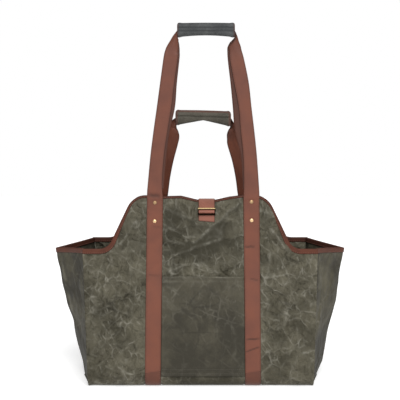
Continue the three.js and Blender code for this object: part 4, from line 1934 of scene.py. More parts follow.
@dataclass(frozen=True)
class StrapRun:
    """Half of a leather strap: from the middle of the floor, up a panel and into the sleeve of its handle.

    Attributes:
        panel: The panel that it is sewn to.
        hand: Which half it is.
        columns: Cells across its front layer.
        back_columns: Cells across its back layer.
        step: Distance between its stations on the panel.
        stitch_inset: Distance of the stitches from its edges, as a share of its half width.
        shade_below: Height below which the front strap, turning under the bag, is painted darker as shade.
        stop: How far below the panel's edge it comes free of the panel.
        tucks: Places of its stations inside the sleeve, and how far it is tucked there.
        layered_from: Rise above the panel's edge at which its back layer starts.
        layered_to: How far below the sleeve's middle the back layer ends.
        bow: How far the back layer hangs behind the front one.
        layer_gap: Gap between the two layers.
        back_inset: How far the back layer stays inside the outer edge.
        back_shade: How dark the back layer of the front strap is painted, as shade behind the front layer.
        edge_drop: How far its edges are rounded down.
        groove: Depth of the groove under its stitches, and its width as a share of its half width.
        crease_depth: How deep its creases are pressed.
        sewn_from: Length beyond the floor's seam at which the stitches start.
        samples: Points of a line of stitches.
    """

    panel: Panel
    hand: Hand
    columns: int = 30
    back_columns: int = 10
    step: float = 3.0
    stitch_inset: float = 0.14
    shade_below: float = 40.0
    stop: float = 6.0
    tucks: tuple[tuple[float, float], ...] = ((58.0, 0.3), (44.0, 1.0), (20.0, 1.0), (0.5, 1.0))
    layered_from: float = 14.0
    layered_to: float = 24.0
    bow: float = 1.6
    layer_gap: float = 0.5
    back_inset: float = 4.0
    back_shade: float = 0.7
    edge_drop: float = 0.8
    groove: tuple[float, float] = (0.3, 0.035)
    crease_depth: float = 0.9
    sewn_from: float = 40.0
    samples: int = 160

    @property
    def handle(self) -> Handle:
        """The handle that the strap becomes."""
        return HANDLES[self.panel.side]

    @property
    def last(self) -> int:
        """Number of its last station."""
        return len(self.stations[0]) - 1

    @cached_property
    def span(self) -> tuple[float, float]:
        """Find where the strap has a back layer.

        Returns:
            The shares along the strap between which it has one.
        """
        rises = self.stations[0][:, RISE]
        top = self.handle.rise - self.layered_to
        free = [k for k, rise in enumerate(rises) if self.layered_from < rise < top]
        return free[0] / self.last, free[-1] / self.last

    @cached_property
    def stations(self) -> tuple[np.ndarray, np.ndarray]:
        """Lay out the strap.

        Returns:
            All its stations, and the outward direction at each.
        """
        fixed = self.on_panel()
        loose = rounded_path([fixed[-1], *self.on_handle()], 8)
        rows = np.vstack([fixed[:-1], loose])
        middles = (rows[:, INNER] + rows[:, OUTER]) / 2
        runs = np.gradient(middles, axis=0)
        widths = rows[:, OUTER] - rows[:, INNER]
        faces = np.cross(runs, widths) * self.hand.value * self.panel.side.value
        return rows, faces / np.linalg.norm(faces, axis=1)[:, None]

    def on_panel(self) -> list[list[float]]:
        """Lay the strap on the floor and the panel.

        Returns:
            The stations there.
        """
        outside, inside = STRAP_EDGES[self.hand]
        end = self.panel.length((outside + inside) / 2) - self.stop
        count = int((end + BAG.base_seam) / self.step)
        rows = []
        for share in shares(count):
            along = mix(-BAG.base_seam + BAG.fit / 2, end, share)
            lift = BAG.fit + BAG.leather + STRAP_STEP * smooth((along - end + 5.0) / 5.0)
            ends = [self.panel.point(x, along, lift) for x in (inside, outside)]
            rows.append([*ends[0], *ends[1], 0.0, 0.0, 0.0, along - end - self.stop])
        return rows

    def on_handle(self) -> list[list[float]]:
        """Lead the strap from the panel's edge into the sleeve.

        Returns:
            The stations there.
        """
        handle, hand = self.handle, self.hand.value
        table = TURNS[self.panel.side, self.hand]
        turns = [(handle.rise + t.rise, t.out, t.half, t.turn, t.cup, handle.grip) for t in table]
        tuck_rise, tuck_half = handle.tuck
        turns += [
            (handle.rise + tuck_rise * share, out, mix(11.0, tuck_half, share), 90.0, 1.0, handle.grip)
            for out, share in self.tucks
        ]
        top = handle.grip - handle.sway
        first = turns[0][0]
        runs = [
            (rise, out, STRAP_HALF, 0.0, 0.0, mix(handle.foot, top, rise / first))
            for rise, out in handle.run
        ]
        rows = []
        for rise, out, half, turn, cup, middle in (*runs, *turns):
            angle = math.radians(turn)
            ends = [
                handle.at(
                    self.panel,
                    middle + hand * (out + edge * half * math.cos(angle)),
                    rise + edge * half * math.sin(angle),
                    BAG.leather / 2,
                )
                for edge in (-1, 1)
            ]
            rows.append([*ends[0], *ends[1], cup, *self.layered(rise), rise])
        return rows

    def layered(self, rise: float) -> tuple[float, float]:
        """Spread the two layers of a front strap. The back handle has none.

        Args:
            rise: Length up the handle.

        Returns:
            Inset of the front layer, and reach of the back layer beyond the inner edge.
        """
        if self.panel.side is Side.BACK:
            return 0.0, 0.0
        layers = LAYERS[self.hand]
        fade = smooth((self.handle.rise - 12.0 - rise) / 40.0)
        keys = [row.rise for row in layers]
        inset = between(rise, keys, [row.inset for row in layers])
        beyond = between(rise, keys, [row.beyond for row in layers])
        return fade * inset, fade * beyond

    def crease(self, across: float, z: float) -> float:
        """Read the dark creases of a front strap.

        Args:
            across: Share of the half width, from -1 to 1.
            z: Height.

        Returns:
            How deep the deepest crease is there.
        """
        if self.panel.side is not Side.FRONT:
            return 0.0
        found = 0.0
        for mark in CREASES:
            share = (across - mark.start) / (mark.end - mark.start)
            if mark.hand is self.hand and 0.0 < share < 1.0:
                sway = 1.6 * noise.noise(Vector((across * 3.0, mark.start_z, 0.0)))
                line = bell(z - mix(mark.start_z, mark.end_z, share) - sway, mark.width)
                found = max(found, mark.depth * line * math.sin(math.pi * share) ** 0.3)
        return found

    def station(self, along: float) -> tuple[Vector, Vector, Vector, np.ndarray]:
        """Read the strap between two stations.

        Args:
            along: Share along the strap.

        Returns:
            Inner edge, outer edge, outward direction, and the whole row.
        """
        rows, faces = self.stations
        k = min(int(along * self.last), self.last - 1)
        share = along * self.last - k
        row = rows[k] * (1 - share) + rows[k + 1] * share
        face = Vector(faces[k] * (1 - share) + faces[k + 1] * share).normalized()
        return Vector(row[INNER]), Vector(row[OUTER]), face, row

    def front(self, across: float, along: float) -> Vector:
        """Shape the front layer, with rounded edges and a groove under its stitches.

        Args:
            across: Share from the inner to the outer edge.
            along: Share along the strap.

        Returns:
            The point, in millimetres.
        """
        inner, outer, face, row = self.station(along)
        start = inner + (outer - inner).normalized() * row[INSET]
        e = 2.0 * across - 1.0
        spot = start.lerp(outer, across)
        depth, width = self.groove
        groove = depth * bell(abs(e) - 1.0 + self.stitch_inset, width)
        dip = self.edge_drop * abs(e) ** 16 + groove + self.crease_depth * self.crease(e, spot.z)
        return spot - face * (dip + row[CUP] * abs(e) ** 1.6)

    def back(self, across: float, along: float) -> Vector:
        """Shape the back layer.

        Args:
            across: Share from the inner to the outer edge.
            along: Share along the layer.

        Returns:
            The point, in millimetres.
        """
        inner, outer, face, row = self.station(mix(*self.span, along))
        unit = (outer - inner).normalized()
        start = inner - unit * row[BEYOND]
        end = outer - unit * self.back_inset
        tail = smooth(min(along, 1.0 - along) / 0.08)
        cup = row[CUP] * abs(2.0 * across - 1.0) ** 1.6
        behind = BAG.leather + self.layer_gap + self.bow * tail * (1.0 - across) + cup
        return start.lerp(end, across) - face * behind

    def front_marks(self, across: float, along: float) -> dict[str, float]:
        """Darken the front layer at its cut edges, stitches and creases (partly painted shade), with painted
        shade where it turns under the bag and, on the right strap, near the sleeve; a little darker up the
        free run and towards the sleeve.

        Args:
            across: Share from the inner to the outer edge.
            along: Share along the strap.

        Returns:
            Darkness of the leather.
        """
        _, _, _, row = self.station(along)
        rise = row[RISE]
        e = 2.0 * across - 1.0
        z = (row[2] + row[5]) / 2
        dark = 0.85 * smooth((abs(e) - 0.93) / 0.06)
        dark += 0.3 * bell(abs(e) - 1.0 + self.stitch_inset, 0.05) + self.crease(e, z)
        # Painted shade where the strap turns under the bag and faces down.
        if rise < 0 and self.panel.side is Side.FRONT:
            slant = self.shade_below + 3.0 * e * self.hand.value
            dark += 0.45 * smooth((slant - z) / 3.0)
        # Painted shadow on the right strap's inner edge below the sleeve.
        if self.hand is Hand.RIGHT:
            dark += 0.9 * smooth((rise - self.handle.rise + 42.0 - 12.0 * (e + 1.0)) / 12.0)
        dark += 0.1 * smooth(rise / 60.0) + 0.12 * smooth((rise - self.handle.rise + 90.0) / 60.0)
        return {"edge": min(dark, 1.0)}

    def back_marks(self, across: float, along: float) -> dict[str, float]:
        """Darken the back layer with painted shade: the whole layer on the front handle; on the back handle
        its inner edge and, on the right, its top near the sleeve, with darker streaks.

        Args:
            across: Share from the inner to the outer edge.
            along: Share along the layer.

        Returns:
            Darkness of the leather.
        """
        # Painted shade on the back layer, which lies behind the front layer or turns its inner edge away.
        if self.panel.side is Side.FRONT:
            return {"edge": self.back_shade}
        dark = 0.4 * smooth(1.0 - across / 0.08)
        if self.hand is Hand.RIGHT:
            streak = noise.noise(Vector((across * 4.0 + along * 6.0, along * 2.0, 5.0)))
            dark += 0.4 * max(streak, 0.0) + 0.35 * smooth((along - 0.6) / 0.2)
        return {"edge": min(dark, 1.0)}

    def add_to(self, bm: bmesh.types.BMesh, seams: Stitching) -> None:
        """Add both layers of the strap to a mesh, and sew its edges to the panel.

        Args:
            bm: The strap's mesh.
            seams: Takes the stitches.
        """
        length = self.last * self.step
        low, high = self.span
        out = towards(self.panel.side.outwards)
        way = Vector((0.0, self.panel.side.value, 0.0))
        flat = (2 * STRAP_HALF, length)
        back_rows = int(self.last * (high - low))
        Surface(self.columns, self.last, flat, self.front, self.front_marks, out).add_to(bm)
        Surface(self.back_columns, back_rows, flat, self.back, self.back_marks, out).add_to(bm)
        first = (BAG.base_seam + self.sewn_from) / length
        for edge in (self.stitch_inset / 2, 1.0 - self.stitch_inset / 2):
            for start, end in ((first, low), (low, high)):
                line = [self.front(edge, mix(start, end, share)) for share in shares(self.samples)]
                seams.sew([point + way * 0.25 for point in line], way)


@dataclass(frozen=True)
class Strap:
    """One leather strap: two runs that meet under the floor's middle and inside the sleeve.

    Attributes:
        panel: The panel that it is sewn to.
    """

    panel: Panel

    def build(self, hide: bpy.types.Material, seams: Stitching) -> bpy.types.Object:
        """Make the strap.

        Args:
            hide: Its leather.
            seams: Takes its stitches.

        Returns:
            The strap.
        """
        bm = bmesh.new()
        for hand in Hand:
            StrapRun(self.panel, hand).add_to(bm, seams)
        node = f"{self.panel.side.label}_strap"
        return piece(f"{node}_leather", bm, hide, [node], BAG.leather)


@dataclass(frozen=True)
class Grip:
    """A canvas sleeve wrapped round a handle, folded lengthwise, with rolled mouths.

    Attributes:
        panel: The panel that carries the handle.
        half_length: Half its length.
        upper: Height of its top above the handle's line.
        lower_end: Depth of its lower edge at the mouths.
        lower_middle: Depth of its lower edge at the middle.
        notch: 2 for an arched lower edge, 1 for one that rises to a point.
        half_depth: Half its depth.
        square: How square its section is; 2 is an ellipse.
        folds: Heights of the folds along its faces.
        fold_depth: Depth of those folds.
        fold_width: Width of those folds.
        roll: Radius of its rolled mouths.
        tilt: How much lower its right end is than its middle.
        top_line: How brown the fold along its top is.
        girth_radius: Radius of a round sleeve of the same girth.
        columns: Cells round it.
        rows: Cells along it.
    """

    panel: Panel
    half_length: float = 67.5
    upper: float = 17.0
    lower_end: float = 17.0
    lower_middle: float = 12.5
    notch: float = 2.0
    half_depth: float = 10.5
    square: float = 2.6
    folds: tuple[float, ...] = (4.5, -3.0)
    fold_depth: float = 2.0
    fold_width: float = 1.9
    roll: float = 4.5
    tilt: float = 0.0
    top_line: float = 0.0
    girth_radius: float = 15.0
    columns: int = 72
    rows: int = 90

    @property
    def handle(self) -> Handle:
        """The handle that it is wrapped round."""
        return HANDLES[self.panel.side]

    def section(self, across: float, along: float) -> tuple[float, float, float]:
        """Shape of the sleeve.

        Args:
            across: Share of the way round it.
            along: Share of the way along it.

        Returns:
            Rise, depth and nearness to a fold.
        """
        angle = 2.0 * math.pi * across
        end = abs(2.0 * along - 1.0)
        ways = [math.copysign(abs(v) ** (2.0 / self.square), v) for v in (math.sin(angle), math.cos(angle))]
        lower = mix(self.lower_middle, self.lower_end, end**self.notch)
        rolled = max(end * self.half_length - self.half_length + self.roll, 0.0) / self.roll
        swell = 0.9 * smooth((end - 0.8) / 0.12) - self.roll * (1.0 - math.sqrt(1.0 - min(rolled, 1.0) ** 2))
        rise = ways[0] * (self.upper - 1.0 * end**2 + swell if ways[0] > 0 else lower + swell)
        bent = rise + 2.0 * noise.noise(Vector((along * 3.0, self.panel.seed, 0.0)))
        crease = max(bell(bent - fold, self.fold_width) for fold in self.folds)
        ripple = 0.8 * noise.noise(Vector((along * 9.0, math.cos(angle), math.sin(angle) + self.panel.seed)))
        return rise, ways[1] * (self.half_depth + swell + ripple - self.fold_depth * crease), crease

    def place(self, across: float, along: float) -> Vector:
        """Shape the sleeve's outer face.

        Args:
            across: Share of the way round it.
            along: Share of the way along it.

        Returns:
            The point, in millimetres.
        """
        rise, depth, _ = self.section(across, along)
        way = 2.0 * along - 1.0
        x = self.handle.grip + way * self.half_length
        return self.handle.at(self.panel, x, self.handle.rise + rise - self.tilt * way, depth)

    def marks(self, across: float, along: float) -> dict[str, float]:
        """Read a pale band along the middle, which is a painted highlight, painted shade in the folds, and
        the brown of the top fold and the mouths.

        Args:
            across: Share of the way round it.
            along: Share of the way along it.

        Returns:
            The pale band, the darkening and the brown trim.
        """
        end = abs(2.0 * along - 1.0)
        rise, _, crease = self.section(across, along)
        top = self.top_line * smooth((rise - self.upper + 3.5) / 2.5)
        mouth = 0.7 * smooth((end * self.half_length - self.half_length + self.roll * 0.9) / 2.0)
        # Painted highlight: a pale band along the sleeve's middle; painted shade in its folds.
        wear = 0.3 * max(1.0 - abs(rise - 1.0) / 4.0, 0.0)
        return {"wear": wear, "grime": 0.8 * crease, "trim": max(top, mouth)}

    def outwards(self, at: Vector) -> Vector:
        """Direction away from the handle's line, at a point in metres."""
        away = at - self.handle.at(self.panel, self.handle.grip, self.handle.rise, 0.0) * MM
        return Vector((0.0, away.y, away.z))

    def build(self, cloth: bpy.types.Material) -> bpy.types.Object:
        """Make the sleeve.

        Args:
            cloth: Its canvas.

        Returns:
            The sleeve.
        """
        flat = (2.0 * math.pi * self.girth_radius, 2.0 * self.half_length)
        bm = Surface(self.columns, self.rows, flat, self.place, self.marks, self.outwards).mesh()
        bmesh.ops.remove_doubles(bm, verts=bm.verts[:], dist=0.01 * MM)
        node = f"{self.panel.side.label}_grip"
        made = piece(f"{node}_sleeve", bm, cloth, [node], BAG.cloth)
        return made


@dataclass(frozen=True)
class Pocket:
    """A flat patch of smoother canvas between the front straps, open at its hemmed top.

    Attributes:
        panel: The panel that it is sewn to.
        hem: Height of the doubled hem.
        gape: How far the hem hangs open.
        columns: Cells across it.
        rows: Cells up it.
        seam_rise: Height of its bottom seam.
        seam_gap: Distance between the two rows of stitches at the bottom.
        dent: Depth of its dents.
        dent_width: Width of its dents.
        room: Room behind it.
        side_reach: How far from the straps it is held flat.
        gape_from: Column at which the hem begins to gape.
        gape_width: Width over which it opens.
        gape_reach: How far down the gape reaches.
        seeds: Places in the noise that its dents and its creases come from.
        samples: Points of a line of stitches.
    """

    panel: Panel
    hem: float = 12.0
    gape: float = 4.0
    columns: int = 70
    rows: int = 90
    seam_rise: float = 34.0
    seam_gap: float = 10.0
    dent: float = 1.6
    dent_width: float = 70.0
    room: float = 0.4
    side_reach: float = 25.0
    gape_from: float = 14.0
    gape_width: float = 24.0
    gape_reach: float = 34.0
    seeds: tuple[float, float] = (61.0, 83.0)
    samples: int = 60

    @property
    def edges(self) -> tuple[float, float]:
        """Columns of its sides, beside the straps."""
        return STRAP_EDGES[Hand.LEFT][1] + BAG.fit, STRAP_EDGES[Hand.RIGHT][1] - BAG.fit

    def spot(self, across: float, along: float) -> tuple[float, float]:
        """Column and height at a share across and a share up."""
        return mix(*self.edges, across), mix(BAG.edge_radius, POCKET_TOP, along)

    def lift(self, x: float, z: float) -> float:
        """Stand the pocket off the panel: dented, open at the right of its hem, drawn in at its seam.

        Args:
            x: Column of the panel.
            z: Height.

        Returns:
            Distance of its outer face from the panel's.
        """
        left, right = self.edges
        free = smooth((x - left) / self.side_reach) * smooth((right - x) / self.side_reach)
        dents = 1.0 + noise.noise(Vector((x, self.seeds[0], z)) / self.dent_width)
        open_part = smooth((x - self.gape_from) / self.gape_width) * smooth((right - x) / 9.0)
        gaping = self.gape * open_part * smooth((z - POCKET_TOP + self.gape_reach) / self.gape_reach)
        doubled = 0.5 * smooth((z - POCKET_TOP + self.hem) / 1.5)
        seam = -0.5 * bell(z - self.seam_rise, 2.2)
        flush = 1.0 - 0.8 * smooth((z - POCKET_TOP + 50.0) / 50.0)
        off = BAG.fit + BAG.cloth + self.room
        return off + self.dent * dents * free * flush + gaping + doubled + seam

    def place(self, across: float, along: float) -> Vector:
        """Point of its outer face at a share across and a share up."""
        x, z = self.spot(across, along)
        return self.panel.point(x, z - BAG.edge_radius + BAG.arc_end, self.lift(x, z))

    def marks(self, across: float, along: float) -> dict[str, float]:
        """Read the wax: pale along the hem, darker towards the bottom, with painted shade in the sunk
        creases.

        Args:
            across: Share across the pocket.
            along: Share of the way up.

        Returns:
            Paleness and darkening of the wax.
        """
        x, z = self.spot(across, along)
        _, crest = CRUMPLES[0].at(Vector((x, self.seeds[1], z)))
        right = smooth((x - 4.0) / 24.0)
        hem = bell(z - POCKET_TOP + self.hem, 2.0) * mix(1.0, 0.4, right)
        rim = bell(z - POCKET_TOP + 1.0, 2.0) * mix(0.6, 2.2, right)
        low = smooth((POCKET_TOP - 20.0 - z) / 150.0)
        # Painted shade in the sunk creases; the bottom is only drawn darker.
        return {
            "wear": 0.35 * max(crest, 0.0) + hem + rim,
            "grime": 0.6 * low - 0.05 + 0.3 * max(-crest, 0.0) - 0.3 * max(hem, rim),
        }

    def build(self, cloth: bpy.types.Material, seams: Stitching) -> bpy.types.Object:
        """Args:
            cloth: Its canvas.
            seams: Takes its stitches.

        Returns:
            The pocket.
        """
        flat = (self.edges[1] - self.edges[0], POCKET_TOP - BAG.edge_radius)
        out = Vector((0.0, self.panel.side.value, 0.0))
        sheet = Surface(self.columns, self.rows, flat, self.place, self.marks, towards(out))
        made = piece("front_pocket_canvas", sheet.mesh(), cloth, ["front_pocket"], BAG.cloth)
        hem_rows = (POCKET_TOP - 3.0, POCKET_TOP - self.hem)
        for z in (*hem_rows, self.seam_rise, self.seam_rise + self.seam_gap):
            up = (z - BAG.edge_radius) / flat[1]
            seams.sew([self.place(share, up) + out * 0.2 for share in shares(self.samples)], out)
        return made


@dataclass(frozen=True)
class ClosureTab:
    """A leather tab over the front edge, threaded through the slide.

    Attributes:
        path: Middle line of the leather, by distance out of the panel and below its edge.
        width: Width of the leather.
        thick: Thickness of the leather.
        length: Length of the leather.
        slant: How much lower the right corner of its end is.
        hanging: Share along the tab at which its loose end begins.
        columns: Cells across it.
    """

    path: tuple[tuple[float, float], ...] = (
        (-3.1, 25.0), (-3.1, 12.0), (-4.3, 7.0), (-4.5, 1.0), (-4.0, -1.6), (-2.8, -2.6), (-1.0, -2.8),
        (0.8, -2.6), (2.0, -1.6), (2.5, 1.0), (2.4, 6.0), (1.5, 11.0), (1.1, 15.0), (1.1, 20.5), (1.4, 22.0),
        (2.3, 23.0), (5.6, 24.6), (6.6, 25.6), (6.9, 27.1), (6.6, 28.6), (5.6, 29.6), (2.3, 31.2),
        (1.4, 32.2), (1.1, 33.8), (1.1, 42.0), (1.4, 50.0),
    )
    width: float = 38.0
    thick: float = 1.6
    length: float = 90.0
    slant: float = 3.0
    hanging: float = 0.86
    columns: int = 20

    @cached_property
    def line(self) -> np.ndarray:
        """Middle line of the leather, rounded."""
        return rounded_path(self.path, 4)

    def place(self, across: float, along: float) -> Vector:
        """Shape the tab.

        Args:
            across: Share across it.
            along: Share along it, from its inner end.

        Returns:
            The point, in millimetres.
        """
        last = len(self.line) - 1
        k = min(int(along * last), last - 1)
        share = along * last - k
        out, below = self.line[k] * (1 - share) + self.line[k + 1] * share
        end = smooth((along - self.hanging) / (1.0 - self.hanging))
        x = CLOSURE_MIDDLE + (across - 0.5) * self.width
        sway = 0.5 * end * noise.noise(Vector((across * 3.0, 4.0, 0.0)))
        z = CLOSURE_EDGE - below - self.slant * end * (across - 0.2)
        return Vector((x, -BAG.half_depth - out - sway, z))

    def marks(self, across: float, along: float) -> dict[str, float]:
        """Darken the cut edges.

        Args:
            across: Share across it.
            along: Share along it.

        Returns:
            Darkness of the leather.
        """
        near = min(across, 1.0 - across) * self.width
        end = min(1.0 - along, along) * self.length
        return {"edge": 0.8 * smooth(1.0 - min(near, end) / 1.6)}

    def outwards(self, at: Vector) -> Vector:
        """Direction of the tab's face at a point in metres, none behind the panel."""
        in_front = at.y < (-BAG.half_depth + 1.0) * MM
        return Vector((0.0, -1.0, 1.0)) if in_front else Vector((0.0, 0.0, 0.0))

    def build(self, hide: bpy.types.Material) -> bpy.types.Object:
        """Make the tab.

        Args:
            hide: Its leather.

        Returns:
            The tab.
        """
        flat = (self.width, self.length)
        bm = Surface(self.columns, len(self.line) - 1, flat, self.place, self.marks, self.outwards).mesh()
        return piece("closure_strap_leather", bm, hide, ["closure_strap"], self.thick, 0.0)


@dataclass(frozen=True)
class ClosureSlide:
    """The three-bar brass slide of the closure: a plate with two slots, its edges rounded.

    Attributes:
        plate: Half width and half height of the plate.
        slot: Half width of the slots.
        bars: Heights of the slots' edges above the slide's middle.
        below: Depth of the slide's middle below the panel's edge.
        back: Distance of the slide from the panel.
        deep: Thickness of the slide.
        corner: Radius of the plate's corners.
        rounding: Radius of its other edges.
        bright_from: How far above the slots the metal is painted bright, as a painted highlight on the top
            bar.
    """

    plate: tuple[float, float] = (20.6, 8.7)
    slot: float = 19.2
    bars: tuple[float, float] = (1.5, 5.1)
    below: float = 27.1
    back: float = 2.2
    deep: float = 3.5
    corner: float = 1.2
    rounding: float = 0.6
    bright_from: float = 2.2

    @property
    def middle(self) -> float:
        """Height of the slide's middle."""
        return CLOSURE_EDGE - self.below

    def plate_mesh(self) -> bmesh.types.BMesh:
        """Cut the slots out of a plate and give it its thickness.

        Returns:
            The plate, with sharp edges.
        """
        low, high = self.bars
        across = (-self.plate[0], -self.slot, self.slot, self.plate[0])
        up = (-self.plate[1], -high, -low, low, high, self.plate[1])
        bm = bmesh.new()
        cells = (len(across) - 1, len(up) - 1)
        made = bmesh.ops.create_grid(bm, x_segments=cells[0], y_segments=cells[1], size=0.5)["verts"]
        for vert in made:
            i, j = round((vert.co.x + 0.5) * cells[0]), round((vert.co.y + 0.5) * cells[1])
            y = -BAG.half_depth - self.back
            vert.co = Vector((CLOSURE_MIDDLE + across[i], y, self.middle + up[j])) * MM
        slots = []
        for face in bm.faces:
            spot = face.calc_center_median() / MM
            if abs(spot.x - CLOSURE_MIDDLE) < self.slot and low < abs(spot.z - self.middle) < high:
                slots.append(face)
        bmesh.ops.delete(bm, geom=slots, context="FACES")
        grown = bmesh.ops.extrude_face_region(bm, geom=bm.faces[:])["geom"]
        moved = [item for item in grown if isinstance(item, bmesh.types.BMVert)]
        bmesh.ops.translate(bm, verts=moved, vec=Vector((0.0, -self.deep * MM, 0.0)))
        bmesh.ops.recalc_face_normals(bm, faces=bm.faces[:])
        return bm

    def is_corner(self, edge: bmesh.types.BMEdge) -> bool:
        """Tell whether an edge is one of the plate's four corners.

        Args:
            edge: The edge.

        Returns:
            Whether it goes through the plate at a corner.
        """
        start, end = [vert.co for vert in edge.verts]
        through = abs((start - end).y) > self.deep * MM * 0.9
        at_side = abs(abs(start.x / MM - CLOSURE_MIDDLE) - self.plate[0]) < 0.1
        at_top = abs(abs(start.z / MM - self.middle) - self.plate[1]) < 0.1
        return through and at_side and at_top

    def build(self, metal: bpy.types.Material) -> bpy.types.Object:
        """Round the plate's edges and make it a piece.

        Args:
            metal: Its brass.

        Returns:
            The slide.
        """
        bm = self.plate_mesh()
        shape = {"profile": 0.5, "affect": "EDGES", "material": -1}
        corners = [edge for edge in bm.edges if self.is_corner(edge)]
        bmesh.ops.bevel(bm, geom=corners, offset=self.corner * MM, segments=4, **shape)
        sharp = [edge for edge in bm.edges if edge.is_manifold and edge.calc_face_angle() > 1.0]
        bmesh.ops.bevel(bm, geom=sharp, offset=self.rounding * MM, segments=3, **shape)
        # Painted light: the top bar is left bright as a painted highlight, the rest dark tarnish that also
        # stands for painted shade on the lower bar.
        patina = bm.verts.layers.float.new("patina")
        for vert in bm.verts:
            rubbed_and_lit = vert.co.z / MM - self.middle > self.bars[1] + self.bright_from
            vert[patina] = 0.3 if rubbed_and_lit else 1.0
        return piece("closure_buckle_slide", bm, metal, ["closure_buckle"])


@dataclass(frozen=True)
class Rivets:
    """The domed brass rivets at the top of the straps of one panel.

    Attributes:
        panel: The panel.
        rows: Name and depth below the edge of each row.
        dull: Patina of the upper left and the upper right one.
        section: Radius and height of the turned outline, from the outer cap's dome to the inner cap.
        steps: Steps of the turning.
    """

    panel: Panel
    rows: tuple[tuple[str, float], ...] = (("upper", 15.0), ("lower", 59.0))
    dull: tuple[float, float] = (0.6, 0.5)
    section: tuple[tuple[float, float], ...] = (
        (0.0, 4.8), (1.3, 4.72), (2.5, 4.45), (3.5, 4.05), (4.2, 3.55), (4.6, 3.0), (4.55, 2.6),
        (1.7, 2.6), (1.7, -2.3), (3.9, -2.3), (4.0, -2.9), (3.6, -3.4), (0.0, -3.5),
    )
    steps: int = 28

    def turned(self, at: Vector, dull: float) -> bmesh.types.BMesh:
        """Turn one rivet.

        Args:
            at: Its place on the panel, in millimetres.
            dull: Its patina.

        Returns:
            dull: How dull it is with tarnish.
        """
        bm = bmesh.new()
        side = self.panel.side.value
        verts = [bm.verts.new(Vector((r, side * h, 0.0)) * MM) for r, h in self.section]
        edges = [bm.edges.new(pair) for pair in zip(verts, verts[1:])]
        bmesh.ops.spin(bm, geom=verts + edges, cent=(0.0, 0.0, 0.0), axis=(0.0, 1.0, 0.0),
                       angle=2.0 * math.pi, steps=self.steps, use_merge=True)
        bmesh.ops.remove_doubles(bm, verts=bm.verts[:], dist=0.02 * MM)
        bmesh.ops.recalc_face_normals(bm, faces=bm.faces[:])
        bmesh.ops.translate(bm, verts=bm.verts[:], vec=at * MM)
        patina = bm.verts.layers.float.new("patina")
        for vert in bm.verts:
            vert[patina] = dull
        return bm

    def build(self, metal: bpy.types.Material) -> list[bpy.types.Object]:
        """Make each rivet.

        Args:
            metal: Their brass.

        Returns:
            The rivets.
        """
        made = []
        for hand, dull in zip(Hand, self.dull):
            middle = sum(STRAP_EDGES[hand]) / 2
            for name, depth in self.rows:
                z = self.panel.top_edge(middle) - depth
                at = Vector((leaned(middle, z), self.panel.side.value * BAG.half_depth, z))
                bm = self.turned(at, dull if name == "upper" else 0.0)
                node = f"{self.panel.side.label}_{hand.label}_rivet_{name}"
                made.append(piece(f"{node}_brass", bm, metal, [node]))
        return made


@dataclass(frozen=True)
class Studio:
    """A pale floor, one wide soft key light, an even white room, and a camera at the photograph's angle.

    Attributes:
        eye: Place of the camera, in metres.
        aim: Point that it looks at.
        focal: Focal length in pixels of the image.
        image: Width of that image, in pixels.
        sensor: Width of the camera's sensor.
        key: Direction from the bag to the key light.
        key_power: Strength of the key light.
        key_width: How wide the key light looks from the bag.
        room: Strength of the room's even light.
        floor_half: Half width of the floor, in metres.
        floor_glow: Strength of the light from under the translucent floor.
    """

    eye: tuple[float, float, float] = (0.0, -2.625, 0.641)
    aim: tuple[float, float, float] = (0.0, -0.125, 0.449)
    focal: float = 1063.6
    image: float = 400.0
    sensor: float = 36.0
    key: tuple[float, float, float] = (0.1, -0.78, 0.61)
    key_power: float = 3.02
    key_width: float = math.radians(38.0)
    room: float = 0.45
    floor_half: float = 6.0
    floor_glow: float = 0.3

    def build_floor(self) -> None:
        """Lay the pale floor."""
        bm = bmesh.new()
        bmesh.ops.create_grid(bm, x_segments=2, y_segments=2, size=self.floor_half)
        mesh = bpy.data.meshes.new("floor")
        bm.to_mesh(mesh)
        bm.free()
        floor = bpy.data.objects.new("floor", mesh)
        bpy.context.scene.collection.objects.link(floor)
        made, nodes = new_material("white_paper")
        nodes.shade({
            "Base Color": linear("#fafafa"),
            "Roughness": 0.9,
            "Emission Color": linear("#ffffff"),
            "Emission Strength": self.floor_glow,
        })
        mesh.materials.append(made)

    def build_light(self) -> None:
        """Set the room's even light and the key light."""
        world = bpy.data.worlds.new("studio")
        bpy.context.scene.world = world
        world.use_nodes = True
        nodes = Nodes(world.node_tree)
        seen = nodes.add("ShaderNodeLightPath").outputs["Is Camera Ray"]
        power = nodes.ranged(seen, 0.0, 1.0, self.room, 1.0)
        nodes.feed(world.node_tree.nodes["Background"], {"Strength": power, "Color": (1.0, 1.0, 1.0, 1.0)})
        light = bpy.data.lights.new("key", "SUN")
        light.energy = self.key_power
        light.angle = self.key_width
        lamp = bpy.data.objects.new("key", light)
        lamp.rotation_euler = (-Vector(self.key)).to_track_quat("-Z", "Y").to_euler()
        bpy.context.scene.collection.objects.link(lamp)

    def build_camera(self) -> None:
        """Place the camera."""
        data = bpy.data.cameras.new("camera")
        data.sensor_width = self.sensor
        data.lens = self.focal / self.image * data.sensor_width
        camera = bpy.data.objects.new("camera", data)
        camera.location = self.eye
        camera.rotation_euler = (Vector(self.aim) - Vector(self.eye)).to_track_quat("-Z", "Y").to_euler()
        bpy.context.scene.collection.objects.link(camera)
        bpy.context.scene.camera = camera
        bpy.context.scene.view_settings.view_transform = "Standard"


